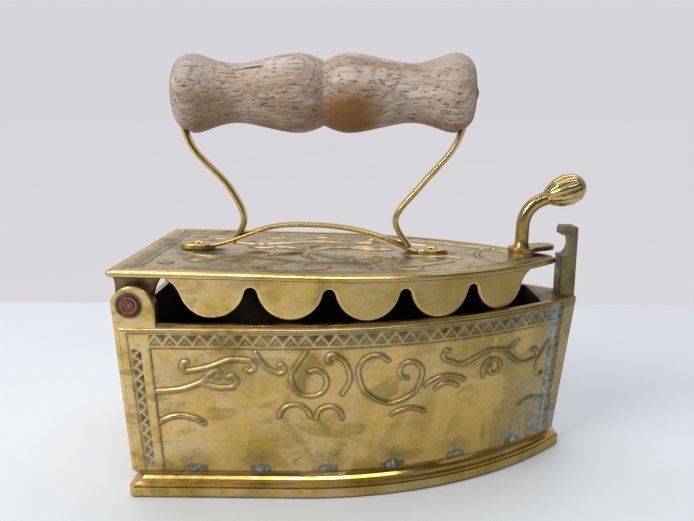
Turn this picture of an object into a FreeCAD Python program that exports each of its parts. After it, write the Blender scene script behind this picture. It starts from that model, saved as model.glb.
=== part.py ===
"""Box iron for hot charcoal: a flared brass fire box on a thick pointed sole, a hinged brass lid with a
scalloped skirt, a turned wooden grip on two bent brass arms, and a turning latch that hooks under a post
at the nose.

Drawn in millimetres with x counted forward from just behind the rear wall, y to the left and z up from
the table.  export() moves every piece so that the origin lies on the sole's underside, in its middle.
"""
import FreeCAD
import Part
import math
import os

V = FreeCAD.Vector
UP = V(0, 0, 1)
LEFT = V(0, 1, 0)
AHEAD = V(1, 0, 0)

# ---- fire box -----------------------------------------------------------------------------------
RIM_Z = 69.4            # top of the side walls
RIM_PROFILE = [(-0.9, 0.0), (-0.3, 0.2), (0.0, 0.7)]    # rounded outer edge of the rim
WALL_FOOT_Z = 8.5       # the walls stand on the sole here
WALL_T = 3.0            # thickness of the cast walls
RIM = dict(half=51.5, rear=0.7, shoulder=62.0, tip=185.5, nose=4.5)
FOOT = dict(half=47.3, rear=2.8, shoulder=66.0, tip=178.6, nose=4.0)
CORNER_R = 2.5          # rounding of the two rear corners
INNER_NOSE = 1.0        # half width where the inside faces meet at the nose

# ---- sole ---------------------------------------------------------------------------------------
SOLE = dict(half=52.0, rear=3.0, shoulder=68.0, tip=181.8, nose=3.0)
SOLE_FLOOR_Z = 9.0      # thickness inside the walls
LIP_T = 2.5             # lip that stands up inside the walls
LIP_Z = 13.0
SOLE_PROFILE = [(0.0, 0.8), (0.25, 0.3), (0.8, 0.0), (4.2, 0.0), (4.8, 0.3), (5.2, 0.9), (5.7, 2.1),
                (6.4, 3.2), (7.3, 4.0)]     # height and inset of the edge: upright, rounded over, then an ogee
SOLE_MID_X = (SOLE["rear"] + SOLE["tip"]) / 2

# ---- rivets that hold the walls to the sole's lip -----------------------------------------------
RIVET_R = 1.9
RIVET_Z = 10.8
RIVET_PROUD = 0.4
RIVET_FIRST_X = 29.0
RIVET_STEP_X = 25.6
RIVETS_A_SIDE = 6

# ---- hinge --------------------------------------------------------------------------------------
PIN_X = 7.9
PIN_Z = 77.1
PIN_R = 2.5
PIN_CLEARANCE = 0.06    # radial, in the lid's lugs
PIN_HEAD_R = 3.6
PIN_HEAD_H = 1.1
PIN_RING_R = 2.3        # ring turned in each head
PIN_RING_W = 0.7
PIN_RING_DEPTH = 0.35
PIN_CENTRE_R = 0.6
PIN_TAIL_R = 3.6         # peened inner end
PIN_TAIL_H = 1.1
PIN_TAIL_GAP = 0.4
EAR_X = 8.9             # middle of the ear, a little ahead of the pin
EAR_R = 8.2
EAR_OUT_Y = 51.8
EAR_T = 4.5
EAR_Z = 75.9            # middle of its round top, a little below the pin
EAR_FOOT_Z = 60.0
EAR_BEVEL = 0.6
EAR_DISH_R = 4.7        # shallow dish round each head
EAR_DISH_DEPTH = 0.5
WASHER_T = 0.8
WASHER_R = 5.0
LUG_GAP = 0.3           # between washer and lug
LUG_T = 3.8
LUG_R = 6.9
LUG_WAIST_R = 7.6       # reach ahead of the pin at the narrowest place above it
LUG_TOP_REAR = 8.0      # reach behind the pin, under the lid
LUG_TOP_FRONT = 10.6    # reach ahead of it

# ---- lid ----------------------------------------------------------------------------------------
LID_TILT = 1.25         # degrees, nose down, when it is shut
LID_TOP_Z = 89.4        # top of its border at the rear edge
LID_T = 2.4             # thickness under the border
BORDER_H = 0.8          # the border stands above the field by this
BORDER_W = 4.5
BORDER_SLOPE = 0.7      # width of the border's sloping inner edge
LID_PROFILE = [(-2.4, 0.6), (-2.1, 0.2), (-1.5, 0.0), (-0.8, 0.05), (-0.3, 0.35), (0.0, 1.0)]   # rounded edge
LID = dict(half=50.0, rear=-1.4, shoulder=75.0, tip=176.0, nose=3.0)
SKIRT_INSET = 0.9
SKIRT_T = 2.2
LOBE_R = 11.5
GAP_R = 3.3
LOBE_PITCH = 29.0       # along the edge
LOBE_DROP = 16.3        # lobe bottoms, below the border's top
FIRST_LOBE = 38.2       # place of the first lobe's middle along the edge, from the rear
LOBES = 5
COVE_FROM = 72.0        # degrees round the outer lobes at which their coved ends begin
COVE_REACH = 5.0        # the coves run this far past the outer lobes
COVE_SAG = 0.9
SKIRT_START_X = 20.5
SKIRT_END_X = 166.0
HINGE_DROP = LID_TOP_Z - PIN_Z

# ---- handle frame -------------------------------------------------------------------------------
STRAP_T = 2.2
STRAP_W = 6.4
PAD_ROUND = 0.8
PAD_L = 15.0
PAD_W = 10.0
REAR_PAD_X = 21.8
FRONT_PAD_X = 122.6
SPACER_T = 0.8
SPACER_R = 4.0
FOOT_RIVET_R = 2.0
FOOT_RIVET_HEAD_R = 3.2
FOOT_RIVET_HEAD_H = 1.4
ARM_T = 2.6
ARM_FOOT_W = 5.2
ARM_TOP_W = 10.0
ARM_SECTIONS = 18
EYE_T = 2.8             # disc at the top of each arm, round the rod
REAR_EYE_X = 16.7
FRONT_EYE_X = 137.7
ARM_UPRIGHT = 6.0       # straight length below the grip's middle
ARM_SHOULDER_Z = 132.0
ARM_SLOPE_Z = 116.0
ARM_BELLY_Z = 102.0     # where each arm is furthest inward
REAR_SWING = 26.0       # from the eye inward to the belly
FRONT_SWING = 30.0
SHOULDER_SHARE = 0.2    # part of the swing done at the shoulder
REAR_SLOPE_SHARE = 0.75
FRONT_SLOPE_SHARE = 0.65
REAR_ARM_FOOT = (37.5, 91.0)
FRONT_ARM_FOOT = (113.5, 89.5)
ARCH_TOP = (72.0, 99.2)     # middle of the strap at its highest
ARCH_REAR = (38.0, 93.0)
ARCH_FRONT = (108.0, 91.4)

# ---- grip ---------------------------------------------------------------------------------------
GRIP_X0 = 15.4
GRIP_X1 = 139.0
GRIP_Z = 154.2
GRIP_FLARE_R = 16.1
GRIP_NECK_R = 12.1
GRIP_BULGE_R = 16.1
GRIP_GROOVE_R = 13.1
GRIP_FACE_R = 9.0       # flat part of each end
GRIP_SLOT_W = 10.6
GRIP_SLOT_DEPTH = 3.0
GRIP_ROD_R = 2.4
GRIP_HEAD_R = 3.8
GRIP_HEAD_H = 1.3
GRIP_WASHER_R = 5.0
GRIP_WASHER_T = 0.7

# ---- latch --------------------------------------------------------------------------------------
LATCH_X = 161.5
LATCH_REST = 35.0       # degrees that the tongue is turned out of the hook
LATCH_WASHER_R = 5.4
LATCH_WASHER_T = 2.3
LATCH_GAP = 0.3         # under the tongue and under the lid, so that the latch turns freely
TONGUE_T = 2.0
TONGUE_W = 9.0
TONGUE_REACH = 19.0
TONGUE_BOSS_R = 5.6
TONGUE_ROUND = 0.6
STEM_R = 2.85
STEM_NECK_R = 2.6
STEM_BASE_R = 3.7
STEM_BASE_H = 2.2
STEM_STRAIGHT = 9.4     # upright length above the tongue
STEM_BEND_R = 12.0
STEM_BEND = 68.0        # degrees
STEM_TAIL = 2.0         # straight length between the bend and the knob
KNOB_L = 17.6
KNOB_R = 6.8
SHANK_R = 2.0
SHANK_CLEARANCE = 0.06
UNDER_WASHER_R = 4.2
UNDER_WASHER_T = 1.0
UNDER_HEAD_R = 3.2
UNDER_HEAD_H = 1.2

# ---- latch post ---------------------------------------------------------------------------------
POST_X0 = 177.8
POST_X1 = 184.5
POST_HALF_W = 5.0
POST_ROUND = 0.9
POST_TOP_Z = 99.2
NOTCH_X = 178.9         # middle of the oval notch
NOTCH_Z = 91.3
NOTCH_HALF_W = 3.3
NOTCH_HALF_H = 4.75
TANG_Z = 46.0
TANG_X0 = 168.0

# ---- fire grate ---------------------------------------------------------------------------------
GRATE_Z = 17.0
GRATE_T = 1.6
GRATE_GAP = 1.2
GRATE_HOLE_R = 3.0
GRATE_PITCH = 12.0
LEG_R = 2.5
LEG_SPOTS = [(18.0, 30.0), (18.0, -30.0), (100.0, 24.0), (100.0, -24.0), (148.0, 0.0)]


# ---- plan outlines ------------------------------------------------------------------------------
def with_arc(plan):
    """Adds the radius and centre of the arc that runs from the shoulder to the nose."""
    run = plan["tip"] - plan["shoulder"]
    drop = plan["half"] - plan["nose"]
    radius = (run * run + drop * drop) / (2 * drop)
    return dict(plan, radius=radius, centre_y=plan["half"] - radius)


def blend_plan(low, high, share):
    """The plan at a share of the way from one plan to another."""
    return with_arc({key: low[key] + (high[key] - low[key]) * share for key in low})


def wall_plan(z):
    """Outside plan of the walls at a height."""
    return blend_plan(FOOT, RIM, (z - WALL_FOOT_Z) / (RIM_Z - WALL_FOOT_Z))


def inset(plan, gap, nose=INNER_NOSE):
    """A plan moved inward by a gap, with its own small nose."""
    radius = plan["radius"] - gap
    tip = plan["shoulder"] + math.sqrt(radius ** 2 - (nose - plan["centre_y"]) ** 2)
    return dict(plan, half=plan["half"] - gap, rear=plan["rear"] + gap, radius=radius, tip=tip, nose=nose)


def keep_nose(plan, gap):
    """A plan moved inward by a gap, with its nose left as wide as it was."""
    return inset(plan, gap, plan["nose"]) if gap else plan


def edge_y(plan, x):
    """Half width of a plan at a place along it."""
    if x <= plan["shoulder"]:
        return plan["half"]
    return plan["centre_y"] + math.sqrt(plan["radius"] ** 2 - (x - plan["shoulder"]) ** 2)


def outline(plan, z, corner=CORNER_R):
    """Closed wire: straight back with rounded corners, straight sides, two arcs and a small nose."""
    half, rear, shoulder = plan["half"], plan["rear"], plan["shoulder"]
    tip, nose = plan["tip"], plan["nose"]
    angle = math.atan2(nose - plan["centre_y"], tip - shoulder)
    middle = (math.pi / 2 + angle) / 2
    mid_x = shoulder + plan["radius"] * math.cos(middle)
    mid_y = plan["centre_y"] + plan["radius"] * math.sin(middle)
    cut = corner * (1 - math.sqrt(0.5))

    def p(x, y):
        return V(x, y, z)

    edges = [
        Part.makeLine(p(rear, half - corner), p(rear, corner - half)),
        Part.Arc(p(rear, corner - half), p(rear + cut, cut - half), p(rear + corner, -half)).toShape(),
        Part.makeLine(p(rear + corner, -half), p(shoulder, -half)),
        Part.Arc(p(shoulder, -half), p(mid_x, -mid_y), p(tip, -nose)).toShape(),
        Part.makeLine(p(tip, -nose), p(tip, nose)),
        Part.Arc(p(tip, nose), p(mid_x, mid_y), p(shoulder, half)).toShape(),
        Part.makeLine(p(shoulder, half), p(rear + corner, half)),
        Part.Arc(p(rear + corner, half), p(rear + cut, half - cut), p(rear, half - corner)).toShape(),
    ]
    return Part.Wire(edges)


def slab(plan, z0, z1, corner=CORNER_R):
    """Upright solid over a plan."""
    return Part.Face(outline(plan, z0, corner)).extrude(V(0, 0, z1 - z0))


def tapered(plan0, z0, plan1, z1, corner=CORNER_R):
    """Solid between two plans."""
    return Part.makeLoft([outline(plan0, z0, corner), outline(plan1, z1, corner)], True, True)


def stacked(sections, corner=CORNER_R):
    """Solid through several (plan, z) sections."""
    return Part.makeLoft([outline(plan, z, corner) for plan, z in sections], True, True)


# ---- small helpers ------------------------------------------------------------------------------
def cylinder(radius, length, base, axis):
    return Part.makeCylinder(radius, length, base, axis)


def across(x, z, radius, y0, y1):
    """Cylinder along y."""
    return cylinder(radius, y1 - y0, V(x, y0, z), LEFT)


def dome(radius, height, base, axis):
    """Rounded rivet head on a flat base."""
    ball = (radius * radius + height * height) / (2 * height)
    sphere = Part.makeSphere(ball, base + axis * (height - ball))
    return sphere.common(cylinder(radius * 1.5, height * 2, base, axis))


def tilt_lid(shape):
    """Turns a piece drawn on a level lid to the lid's real, slightly nose-down place."""
    out = shape.copy()
    out.rotate(V(PIN_X, 0, PIN_Z), LEFT, LID_TILT)
    return out


def on_lid(x, up):
    """World point on the middle of the lid, at a height above its field."""
    run = x - PIN_X
    rise = HINGE_DROP - BORDER_H + up
    t = math.radians(LID_TILT)
    return V(PIN_X + run * math.cos(t) + rise * math.sin(t), 0,
             PIN_Z - run * math.sin(t) + rise * math.cos(t))


def bar_section(centre, along, thickness, width):
    """Oval wire across a direction in the xz plane."""
    normal = V(-along.z, 0, along.x)
    oval = Part.Ellipse(centre + LEFT * (width / 2), centre + normal * (thickness / 2), centre)
    return Part.Wire(oval.toShape())


def bar(points, thickness, first_width, last_width):
    """Bent bar of oval section along a smooth line in the xz plane."""
    line = Part.BSplineCurve()
    line.interpolate([V(x, 0, z) for x, z in points])
    first, last = line.FirstParameter, line.LastParameter
    sections = []
    for i in range(ARM_SECTIONS + 1):
        share = i / ARM_SECTIONS
        t = first + (last - first) * share
        settle = min(1.0, share / 0.45)
        width = first_width + (last_width - first_width) * settle * settle * (3 - 2 * settle)
        sections.append(bar_section(line.value(t), line.tangent(t)[0], thickness, width))
    return Part.makeLoft(sections, True, False)


def widened(face, half):
    """Extrudes a face of the xz plane to both sides."""
    moved = face.copy()
    moved.translate(V(0, -half, 0))
    return moved.extrude(V(0, 2 * half, 0))


# ---- fire box -----------------------------------------------------------------------------------
def cavity(z0, z1, gap=WALL_T):
    """Inside space of the walls between two heights."""
    return tapered(inset(wall_plan(z0), gap), z0, inset(wall_plan(z1), gap), z1)


def hinge_ear(side):
    """Round-topped ear that rises from a rear corner of the wall."""
    inner = side * (EAR_OUT_Y - EAR_T)
    bevel = side * (EAR_OUT_Y - EAR_BEVEL)
    outer = side * EAR_OUT_Y
    foot = Part.makePolygon([V(EAR_X - EAR_R, inner, EAR_FOOT_Z), V(EAR_X - EAR_R, bevel, EAR_FOOT_Z),
                             V(EAR_X - EAR_R + EAR_BEVEL, outer, EAR_FOOT_Z),
                             V(EAR_X + EAR_R - EAR_BEVEL, outer, EAR_FOOT_Z),
                             V(EAR_X + EAR_R, bevel, EAR_FOOT_Z), V(EAR_X + EAR_R, inner, EAR_FOOT_Z),
                             V(EAR_X - EAR_R, inner, EAR_FOOT_Z)])
    ear = Part.Face(foot).extrude(V(0, 0, EAR_Z - EAR_FOOT_Z))
    centre = V(EAR_X, inner, EAR_Z)
    ear = ear.fuse(cylinder(EAR_R, EAR_T - EAR_BEVEL, centre, LEFT * side))
    cone_base = V(EAR_X, bevel, EAR_Z)
    return ear.fuse(Part.makeCone(EAR_R, EAR_R - EAR_BEVEL, EAR_BEVEL, cone_base, LEFT * side))


def body_walls():
    rim = [(keep_nose(wall_plan(RIM_Z + rise), gap), RIM_Z + rise) for rise, gap in RIM_PROFILE]
    shell = stacked([(wall_plan(WALL_FOOT_Z), WALL_FOOT_Z)] + rim)
    ears = hinge_ear(1).fuse(hinge_ear(-1))
    below_rim = tapered(wall_plan(WALL_FOOT_Z), WALL_FOOT_Z, wall_plan(RIM_Z + 20), RIM_Z + 20)
    shell = shell.cut(cavity(WALL_FOOT_Z - 2, RIM_Z + 2)).fuse(ears.common(below_rim))
    shell = shell.cut(across(PIN_X, PIN_Z, PIN_R, -60, 60))
    for side in (1, -1):
        dish_y = EAR_OUT_Y - EAR_DISH_DEPTH
        low, high = sorted((side * dish_y, side * (dish_y + 5)))
        shell = shell.cut(across(PIN_X, PIN_Z, EAR_DISH_R, low, high))
    for rivet in rivet_lines():
        shell = shell.cut(cylinder(RIVET_R, WALL_T + 6, rivet[0] - rivet[1] * 3, rivet[1]))
    return shell.removeSplitter()


def rivet_lines():
    """Outer face point and inward direction of each sole rivet."""
    lines = []
    plan = wall_plan(RIVET_Z)
    for i in range(RIVETS_A_SIDE):
        x = RIVET_FIRST_X + i * RIVET_STEP_X
        y = edge_y(plan, x)
        slope = math.asin(max(0.0, x - plan["shoulder"]) / plan["radius"])
        for side in (1, -1):
            inward = V(-math.sin(slope), -side * math.cos(slope), 0)
            lines.append((V(x, side * y, RIVET_Z), inward))
    return lines


def sole_plate():
    top = wall_plan(WALL_FOOT_Z)
    sole = with_arc(SOLE)
    edge = [(keep_nose(sole, gap), z) for z, gap in SOLE_PROFILE]
    plate = stacked(edge + [(top, WALL_FOOT_Z)])
    lip = tapered(inset(wall_plan(WALL_FOOT_Z), WALL_T), WALL_FOOT_Z, inset(wall_plan(LIP_Z), WALL_T), LIP_Z)
    hollow = tapered(inset(wall_plan(SOLE_FLOOR_Z), WALL_T + LIP_T), SOLE_FLOOR_Z,
                     inset(wall_plan(LIP_Z + 1), WALL_T + LIP_T), LIP_Z + 1)
    plate = plate.fuse(lip).cut(hollow)
    for rivet in rivet_lines():
        plate = plate.cut(cylinder(RIVET_R, WALL_T + LIP_T + 4, rivet[0], rivet[1]))
    for x, y in LEG_SPOTS:
        plate = plate.cut(cylinder(LEG_R * 0.6, 3.0, V(x, y, SOLE_FLOOR_Z - 3.0), UP))
    return plate.removeSplitter()


def sole_rivets():
    pins = []
    for point, inward in rivet_lines():
        shank = cylinder(RIVET_R, WALL_T + LIP_T - 0.3, point, inward)
        pins.append(shank.fuse(dome(RIVET_R, RIVET_PROUD, point, inward * -1)).removeSplitter())
    return Part.makeCompound(pins)


def fire_grate():
    plan = inset(wall_plan(GRATE_Z), WALL_T + GRATE_GAP)
    plate = slab(plan, GRATE_Z, GRATE_Z + GRATE_T)
    holes = []
    margin = GRATE_HOLE_R + 3.0
    for i in range(14):
        x = plan["rear"] + margin + 4 + i * GRATE_PITCH
        shift = GRATE_PITCH / 2 if i % 2 else 0.0
        for j in range(-4, 5):
            y = j * GRATE_PITCH + shift
            near_leg = any(math.hypot(x - lx, y - ly) < LEG_R + margin for lx, ly in LEG_SPOTS)
            inside = x + margin < plan["tip"] and abs(y) + margin < edge_y(plan, x + margin)
            if inside and not near_leg:
                holes.append(cylinder(GRATE_HOLE_R, 4 * GRATE_T, V(x, y, GRATE_Z - GRATE_T), UP))
    plate = plate.cut(holes[0].multiFuse(holes[1:]))
    for x, y in LEG_SPOTS:
        plate = plate.cut(cylinder(LEG_R * 0.6, 4 * GRATE_T, V(x, y, GRATE_Z - GRATE_T), UP))
    return plate


def grate_legs():
    legs = []
    for x, y in LEG_SPOTS:
        leg = cylinder(LEG_R, GRATE_Z - SOLE_FLOOR_Z, V(x, y, SOLE_FLOOR_Z), UP)
        spigot = GRATE_Z + GRATE_T - SOLE_FLOOR_Z + 3.0
        leg = leg.fuse(cylinder(LEG_R * 0.6, spigot, V(x, y, SOLE_FLOOR_Z - 3.0), UP))
        leg = leg.fuse(dome(LEG_R, 1.0, V(x, y, GRATE_Z + GRATE_T), UP))
        legs.append(leg.removeSplitter())
    return Part.makeCompound(legs)


def latch_post():
    """Hooked post that is brazed into the nose, with a tang between the walls."""
    shaft = Part.makeBox(POST_X1 - POST_X0, 2 * POST_HALF_W, POST_TOP_Z - RIM_Z, V(POST_X0, -POST_HALF_W, RIM_Z))
    shaft = shaft.makeFillet(POST_ROUND, [edge for edge in shaft.Edges if edge.CenterOfMass.z > RIM_Z + 0.1])
    oval = Part.Ellipse(V(NOTCH_X, 0, NOTCH_Z + NOTCH_HALF_H), V(NOTCH_X + NOTCH_HALF_W, 0, NOTCH_Z),
                        V(NOTCH_X, 0, NOTCH_Z))
    shaft = shaft.cut(widened(Part.Face(Part.Wire(oval.toShape())), POST_HALF_W + 1))
    shaft = max(shaft.Solids, key=lambda solid: solid.Volume)
    beak_cut = Part.makePolygon([V(POST_X0 - 1, 0, POST_TOP_Z + 1), V(POST_X0 + 1.0, 0, POST_TOP_Z + 1),
                                 V(POST_X0 + 1.0, 0, POST_TOP_Z), V(POST_X0 - 1, 0, POST_TOP_Z - 2.6),
                                 V(POST_X0 - 1, 0, POST_TOP_Z + 1)])
    shaft = shaft.cut(widened(Part.Face(beak_cut), POST_HALF_W + 1))
    tang = Part.makeBox(POST_X1 - TANG_X0, 30, RIM_Z - TANG_Z, V(TANG_X0, -15, TANG_Z))
    tang = tang.common(cavity(TANG_Z - 2, RIM_Z))
    return shaft.fuse(tang).removeSplitter()


# ---- hinge --------------------------------------------------------------------------------------
def hinge_pins():
    """A short pin on each side, through an ear and a lug, with a turned head and a peened inner end."""
    reach = EAR_OUT_Y - EAR_DISH_DEPTH
    tail = EAR_OUT_Y - EAR_T - WASHER_T - LUG_GAP - LUG_T - PIN_TAIL_GAP
    pins = []
    for side in (1, -1):
        low, high = sorted((side * tail, side * reach))
        pin = across(PIN_X, PIN_Z, PIN_R, low, high)
        base = V(PIN_X, side * reach, PIN_Z)
        out = LEFT * side
        head = cylinder(PIN_HEAD_R, PIN_HEAD_H, base, out)
        face = base + out * (PIN_HEAD_H - PIN_RING_DEPTH)
        ring = cylinder(PIN_RING_R + PIN_RING_W / 2, 1, face, out)
        ring = ring.cut(cylinder(PIN_RING_R - PIN_RING_W / 2, 1, face, out))
        head = head.cut(ring).cut(cylinder(PIN_CENTRE_R, 1, face, out))
        peened = cylinder(PIN_TAIL_R, PIN_TAIL_H, V(PIN_X, side * tail, PIN_Z), out * -1)
        pins.append(pin.fuse(head).fuse(peened).removeSplitter())
    return Part.makeCompound(pins)


def hinge_washers():
    inner = EAR_OUT_Y - EAR_T
    rings = []
    for low in (inner - WASHER_T, -inner):
        ring = across(PIN_X, PIN_Z, WASHER_R, low, low + WASHER_T)
        rings.append(ring.cut(across(PIN_X, PIN_Z, PIN_R, low - 1, low + WASHER_T + 1)))
    return Part.makeCompound(rings)


def hinge_lug(side):
    """Drawn level; hangs under the lid's rear corner and turns on the pin."""
    outer = EAR_OUT_Y - EAR_T - WASHER_T - LUG_GAP
    low, high = sorted((side * outer, side * (outer - LUG_T)))
    top = LID_TOP_Z - LID_T
    side_line = Part.BSplineCurve()
    side_line.interpolate([V(PIN_X + LUG_R, low, PIN_Z), V(PIN_X + LUG_WAIST_R, low, PIN_Z + 4.6),
                           V(PIN_X + LUG_TOP_FRONT, low, top)])
    rear_line = Part.BSplineCurve()
    rear_line.interpolate([V(PIN_X - LUG_TOP_REAR, low, top), V(PIN_X - LUG_R, low, PIN_Z + 7.4),
                           V(PIN_X - LUG_R + 0.2, low, PIN_Z + 4.2), V(PIN_X - LUG_R, low, PIN_Z)])
    cheek = Part.Wire([side_line.toShape(),
                       Part.makeLine(V(PIN_X + LUG_TOP_FRONT, low, top), V(PIN_X - LUG_TOP_REAR, low, top)),
                       rear_line.toShape(),
                       Part.makeLine(V(PIN_X - LUG_R, low, PIN_Z), V(PIN_X + LUG_R, low, PIN_Z))])
    lug = Part.Face(cheek).extrude(V(0, high - low, 0))
    lug = lug.fuse(across(PIN_X, PIN_Z, LUG_R, low, high))
    lug = lug.cut(across(PIN_X, PIN_Z, PIN_R + PIN_CLEARANCE, low - 1, high + 1))
    return tilt_lid(lug.removeSplitter())


# ---- lid ----------------------------------------------------------------------------------------
def edge_point(plan, s):
    """Point and outward normal at a length along the right-hand edge, counted from the rear."""
    straight = plan["shoulder"] - plan["rear"]
    if s <= straight:
        return plan["rear"] + s, plan["half"], 0.0
    turn = (s - straight) / plan["radius"]
    x = plan["shoulder"] + plan["radius"] * math.sin(turn)
    y = plan["centre_y"] + plan["radius"] * math.cos(turn)
    return x, y, turn


def scallop_cutter():
    """What lies under the skirt's edge between two lobe middles, drawn about x = 0 in the xz plane."""
    bottom = LID_TOP_Z - LOBE_DROP
    lobe_z = bottom + LOBE_R
    half = LOBE_PITCH / 2
    drop = math.sqrt((LOBE_R + GAP_R) ** 2 - half ** 2)
    gap_z = lobe_z - drop
    touch_x = half * GAP_R / (LOBE_R + GAP_R)
    touch_z = gap_z + drop * GAP_R / (LOBE_R + GAP_R)
    lobe_turn = math.atan2(half - touch_x, lobe_z - touch_z) / 2
    mid_x = half - LOBE_R * math.sin(lobe_turn)
    mid_z = lobe_z - LOBE_R * math.cos(lobe_turn)

    def p(x, z):
        return V(x, 0, z)

    edges = [
        Part.Arc(p(-half, bottom), p(-mid_x, mid_z), p(-touch_x, touch_z)).toShape(),
        Part.Arc(p(-touch_x, touch_z), p(0, gap_z + GAP_R), p(touch_x, touch_z)).toShape(),
        Part.Arc(p(touch_x, touch_z), p(mid_x, mid_z), p(half, bottom)).toShape(),
        Part.makeLine(p(half, bottom), p(half, bottom - 6)),
        Part.makeLine(p(half, bottom - 6), p(-half, bottom - 6)),
        Part.makeLine(p(-half, bottom - 6), p(-half, bottom)),
    ]
    return widened(Part.Face(Part.Wire(edges)), 9)


def end_cutter(toward):
    """As scallop_cutter, for the free outer half of the first or the last lobe."""
    bottom = LID_TOP_Z - LOBE_DROP
    lobe_z = bottom + LOBE_R
    top = LID_TOP_Z - LID_T
    reach = LOBE_R + COVE_REACH
    start = math.radians(COVE_FROM)
    x0 = LOBE_R * math.sin(start)
    z0 = lobe_z - LOBE_R * math.cos(start)
    chord = math.hypot(reach - x0, top - z0)

    def p(x, z):
        return V(toward * x, 0, z)

    cove_middle = p((x0 + reach) / 2 - COVE_SAG * (top - z0) / chord,
                    (z0 + top) / 2 + COVE_SAG * (reach - x0) / chord)
    edges = [
        Part.Arc(p(0, bottom), p(LOBE_R * math.sin(start / 2), lobe_z - LOBE_R * math.cos(start / 2)),
                 p(x0, z0)).toShape(),
        Part.Arc(p(x0, z0), cove_middle, p(reach, top)).toShape(),
        Part.makeLine(p(reach, top), p(reach + 40, top)),
        Part.makeLine(p(reach + 40, top), p(reach + 40, bottom - 6)),
        Part.makeLine(p(reach + 40, bottom - 6), p(0, bottom - 6)),
        Part.makeLine(p(0, bottom - 6), p(0, bottom)),
    ]
    return widened(Part.Face(Part.Wire(edges)), 9)


def placed_on_edge(shape, plan, s, side):
    x, y, turn = edge_point(plan, s)
    out = shape.copy()
    out.rotate(V(0, 0, 0), UP, -math.degrees(turn))
    out.translate(V(x, y, 0))
    if side < 0:
        out = out.mirror(V(0, 0, 0), LEFT)
    return out


def lid_plate():
    plan = with_arc(LID)
    skirt_plan = inset(plan, SKIRT_INSET, 2.0)
    top = LID_TOP_Z
    plate = stacked([(keep_nose(plan, gap), top + rise) for rise, gap in LID_PROFILE], 1.8)
    field = stacked([(inset(plan, BORDER_W), top - BORDER_H), (inset(plan, BORDER_W - BORDER_SLOPE), top),
                     (inset(plan, BORDER_W - BORDER_SLOPE), top + 1)], 1.0)
    skirt = slab(skirt_plan, top - LOBE_DROP, top - LID_T, 1.0)
    skirt = skirt.cut(slab(inset(skirt_plan, SKIRT_T), top - LOBE_DROP - 1, top - LID_T + 1, 0.5))
    keep = Part.makeBox(SKIRT_END_X - SKIRT_START_X, 120, 40, V(SKIRT_START_X, -60, top - 38))
    skirt = skirt.common(keep)
    for side in (1, -1):
        for i in range(LOBES - 1):
            s = FIRST_LOBE + (i + 0.5) * LOBE_PITCH
            skirt = skirt.cut(placed_on_edge(scallop_cutter(), skirt_plan, s, side))
        skirt = skirt.cut(placed_on_edge(end_cutter(-1), skirt_plan, FIRST_LOBE, side))
        last = FIRST_LOBE + (LOBES - 1) * LOBE_PITCH
        skirt = skirt.cut(placed_on_edge(end_cutter(1), skirt_plan, last, side))
    plate = plate.fuse(skirt).cut(field).removeSplitter()
    for x in (REAR_PAD_X, FRONT_PAD_X):
        plate = plate.cut(cylinder(FOOT_RIVET_R, 20, V(x, 0, top - 10), UP))
    plate = plate.cut(cylinder(SHANK_R + SHANK_CLEARANCE, 20, V(LATCH_X, 0, top - 10), UP))
    return tilt_lid(plate)


# ---- handle frame -------------------------------------------------------------------------------
def pad_place(x):
    """Middle of a pad's underside, on its spacer."""
    return on_lid(x, SPACER_T)


def pad(x):
    """Oval foot of the strap, drawn level and then tilted with the lid."""
    z = LID_TOP_Z - BORDER_H + SPACER_T
    face = Part.Face(Part.Wire(Part.Ellipse(V(x, 0, z), PAD_L / 2, PAD_W / 2).toShape()))
    foot = face.extrude(V(0, 0, STRAP_T))
    upper = [edge for edge in foot.Edges if edge.BoundBox.ZMin > z + STRAP_T - 0.1]
    return tilt_lid(foot.makeFillet(PAD_ROUND, upper))


def handle_strap():
    """Arched strap with an oval foot at each end."""
    rear = pad_place(REAR_PAD_X)
    front = pad_place(FRONT_PAD_X)
    lift = STRAP_T / 2
    points = [(rear.x + 2, rear.z + lift), (rear.x + 8, rear.z + lift + 0.5), ARCH_REAR, (53.0, 98.0), ARCH_TOP,
              (91.0, 97.0), ARCH_FRONT, (front.x - 8, front.z + lift + 0.5), (front.x - 2, front.z + lift)]
    strap = bar(points, STRAP_T, STRAP_W, STRAP_W)
    floor = LID_TOP_Z - BORDER_H + SPACER_T
    strap = strap.cut(tilt_lid(Part.makeBox(200, 40, 20, V(0, -20, floor - 20))))
    strap = strap.fuse(pad(REAR_PAD_X)).fuse(pad(FRONT_PAD_X))
    for x in (REAR_PAD_X, FRONT_PAD_X):
        strap = strap.cut(tilt_lid(cylinder(FOOT_RIVET_R, 30, V(x, 0, LID_TOP_Z - 10), UP)))
    return strap


def foot_spacer(x):
    z = LID_TOP_Z - BORDER_H
    ring = cylinder(SPACER_R, SPACER_T, V(x, 0, z), UP)
    return tilt_lid(ring.cut(cylinder(FOOT_RIVET_R, 4, V(x, 0, z - 1), UP)))


def foot_rivet(x):
    under = V(x, 0, LID_TOP_Z - LID_T)
    seat = V(x, 0, LID_TOP_Z - BORDER_H + SPACER_T + STRAP_T)
    rivet = cylinder(FOOT_RIVET_R, seat.z - under.z, under, UP)
    rivet = rivet.fuse(dome(FOOT_RIVET_HEAD_R, FOOT_RIVET_HEAD_H, seat, UP))
    rivet = rivet.fuse(dome(FOOT_RIVET_HEAD_R, FOOT_RIVET_HEAD_H * 0.7, under, UP * -1))
    return tilt_lid(rivet.removeSplitter())


def arm_outer_face(rear):
    """x of the outer face of an arm's eye."""
    return REAR_EYE_X - EYE_T / 2 if rear else FRONT_EYE_X + EYE_T / 2


def arm_span():
    return arm_outer_face(False) - arm_outer_face(True)


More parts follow.
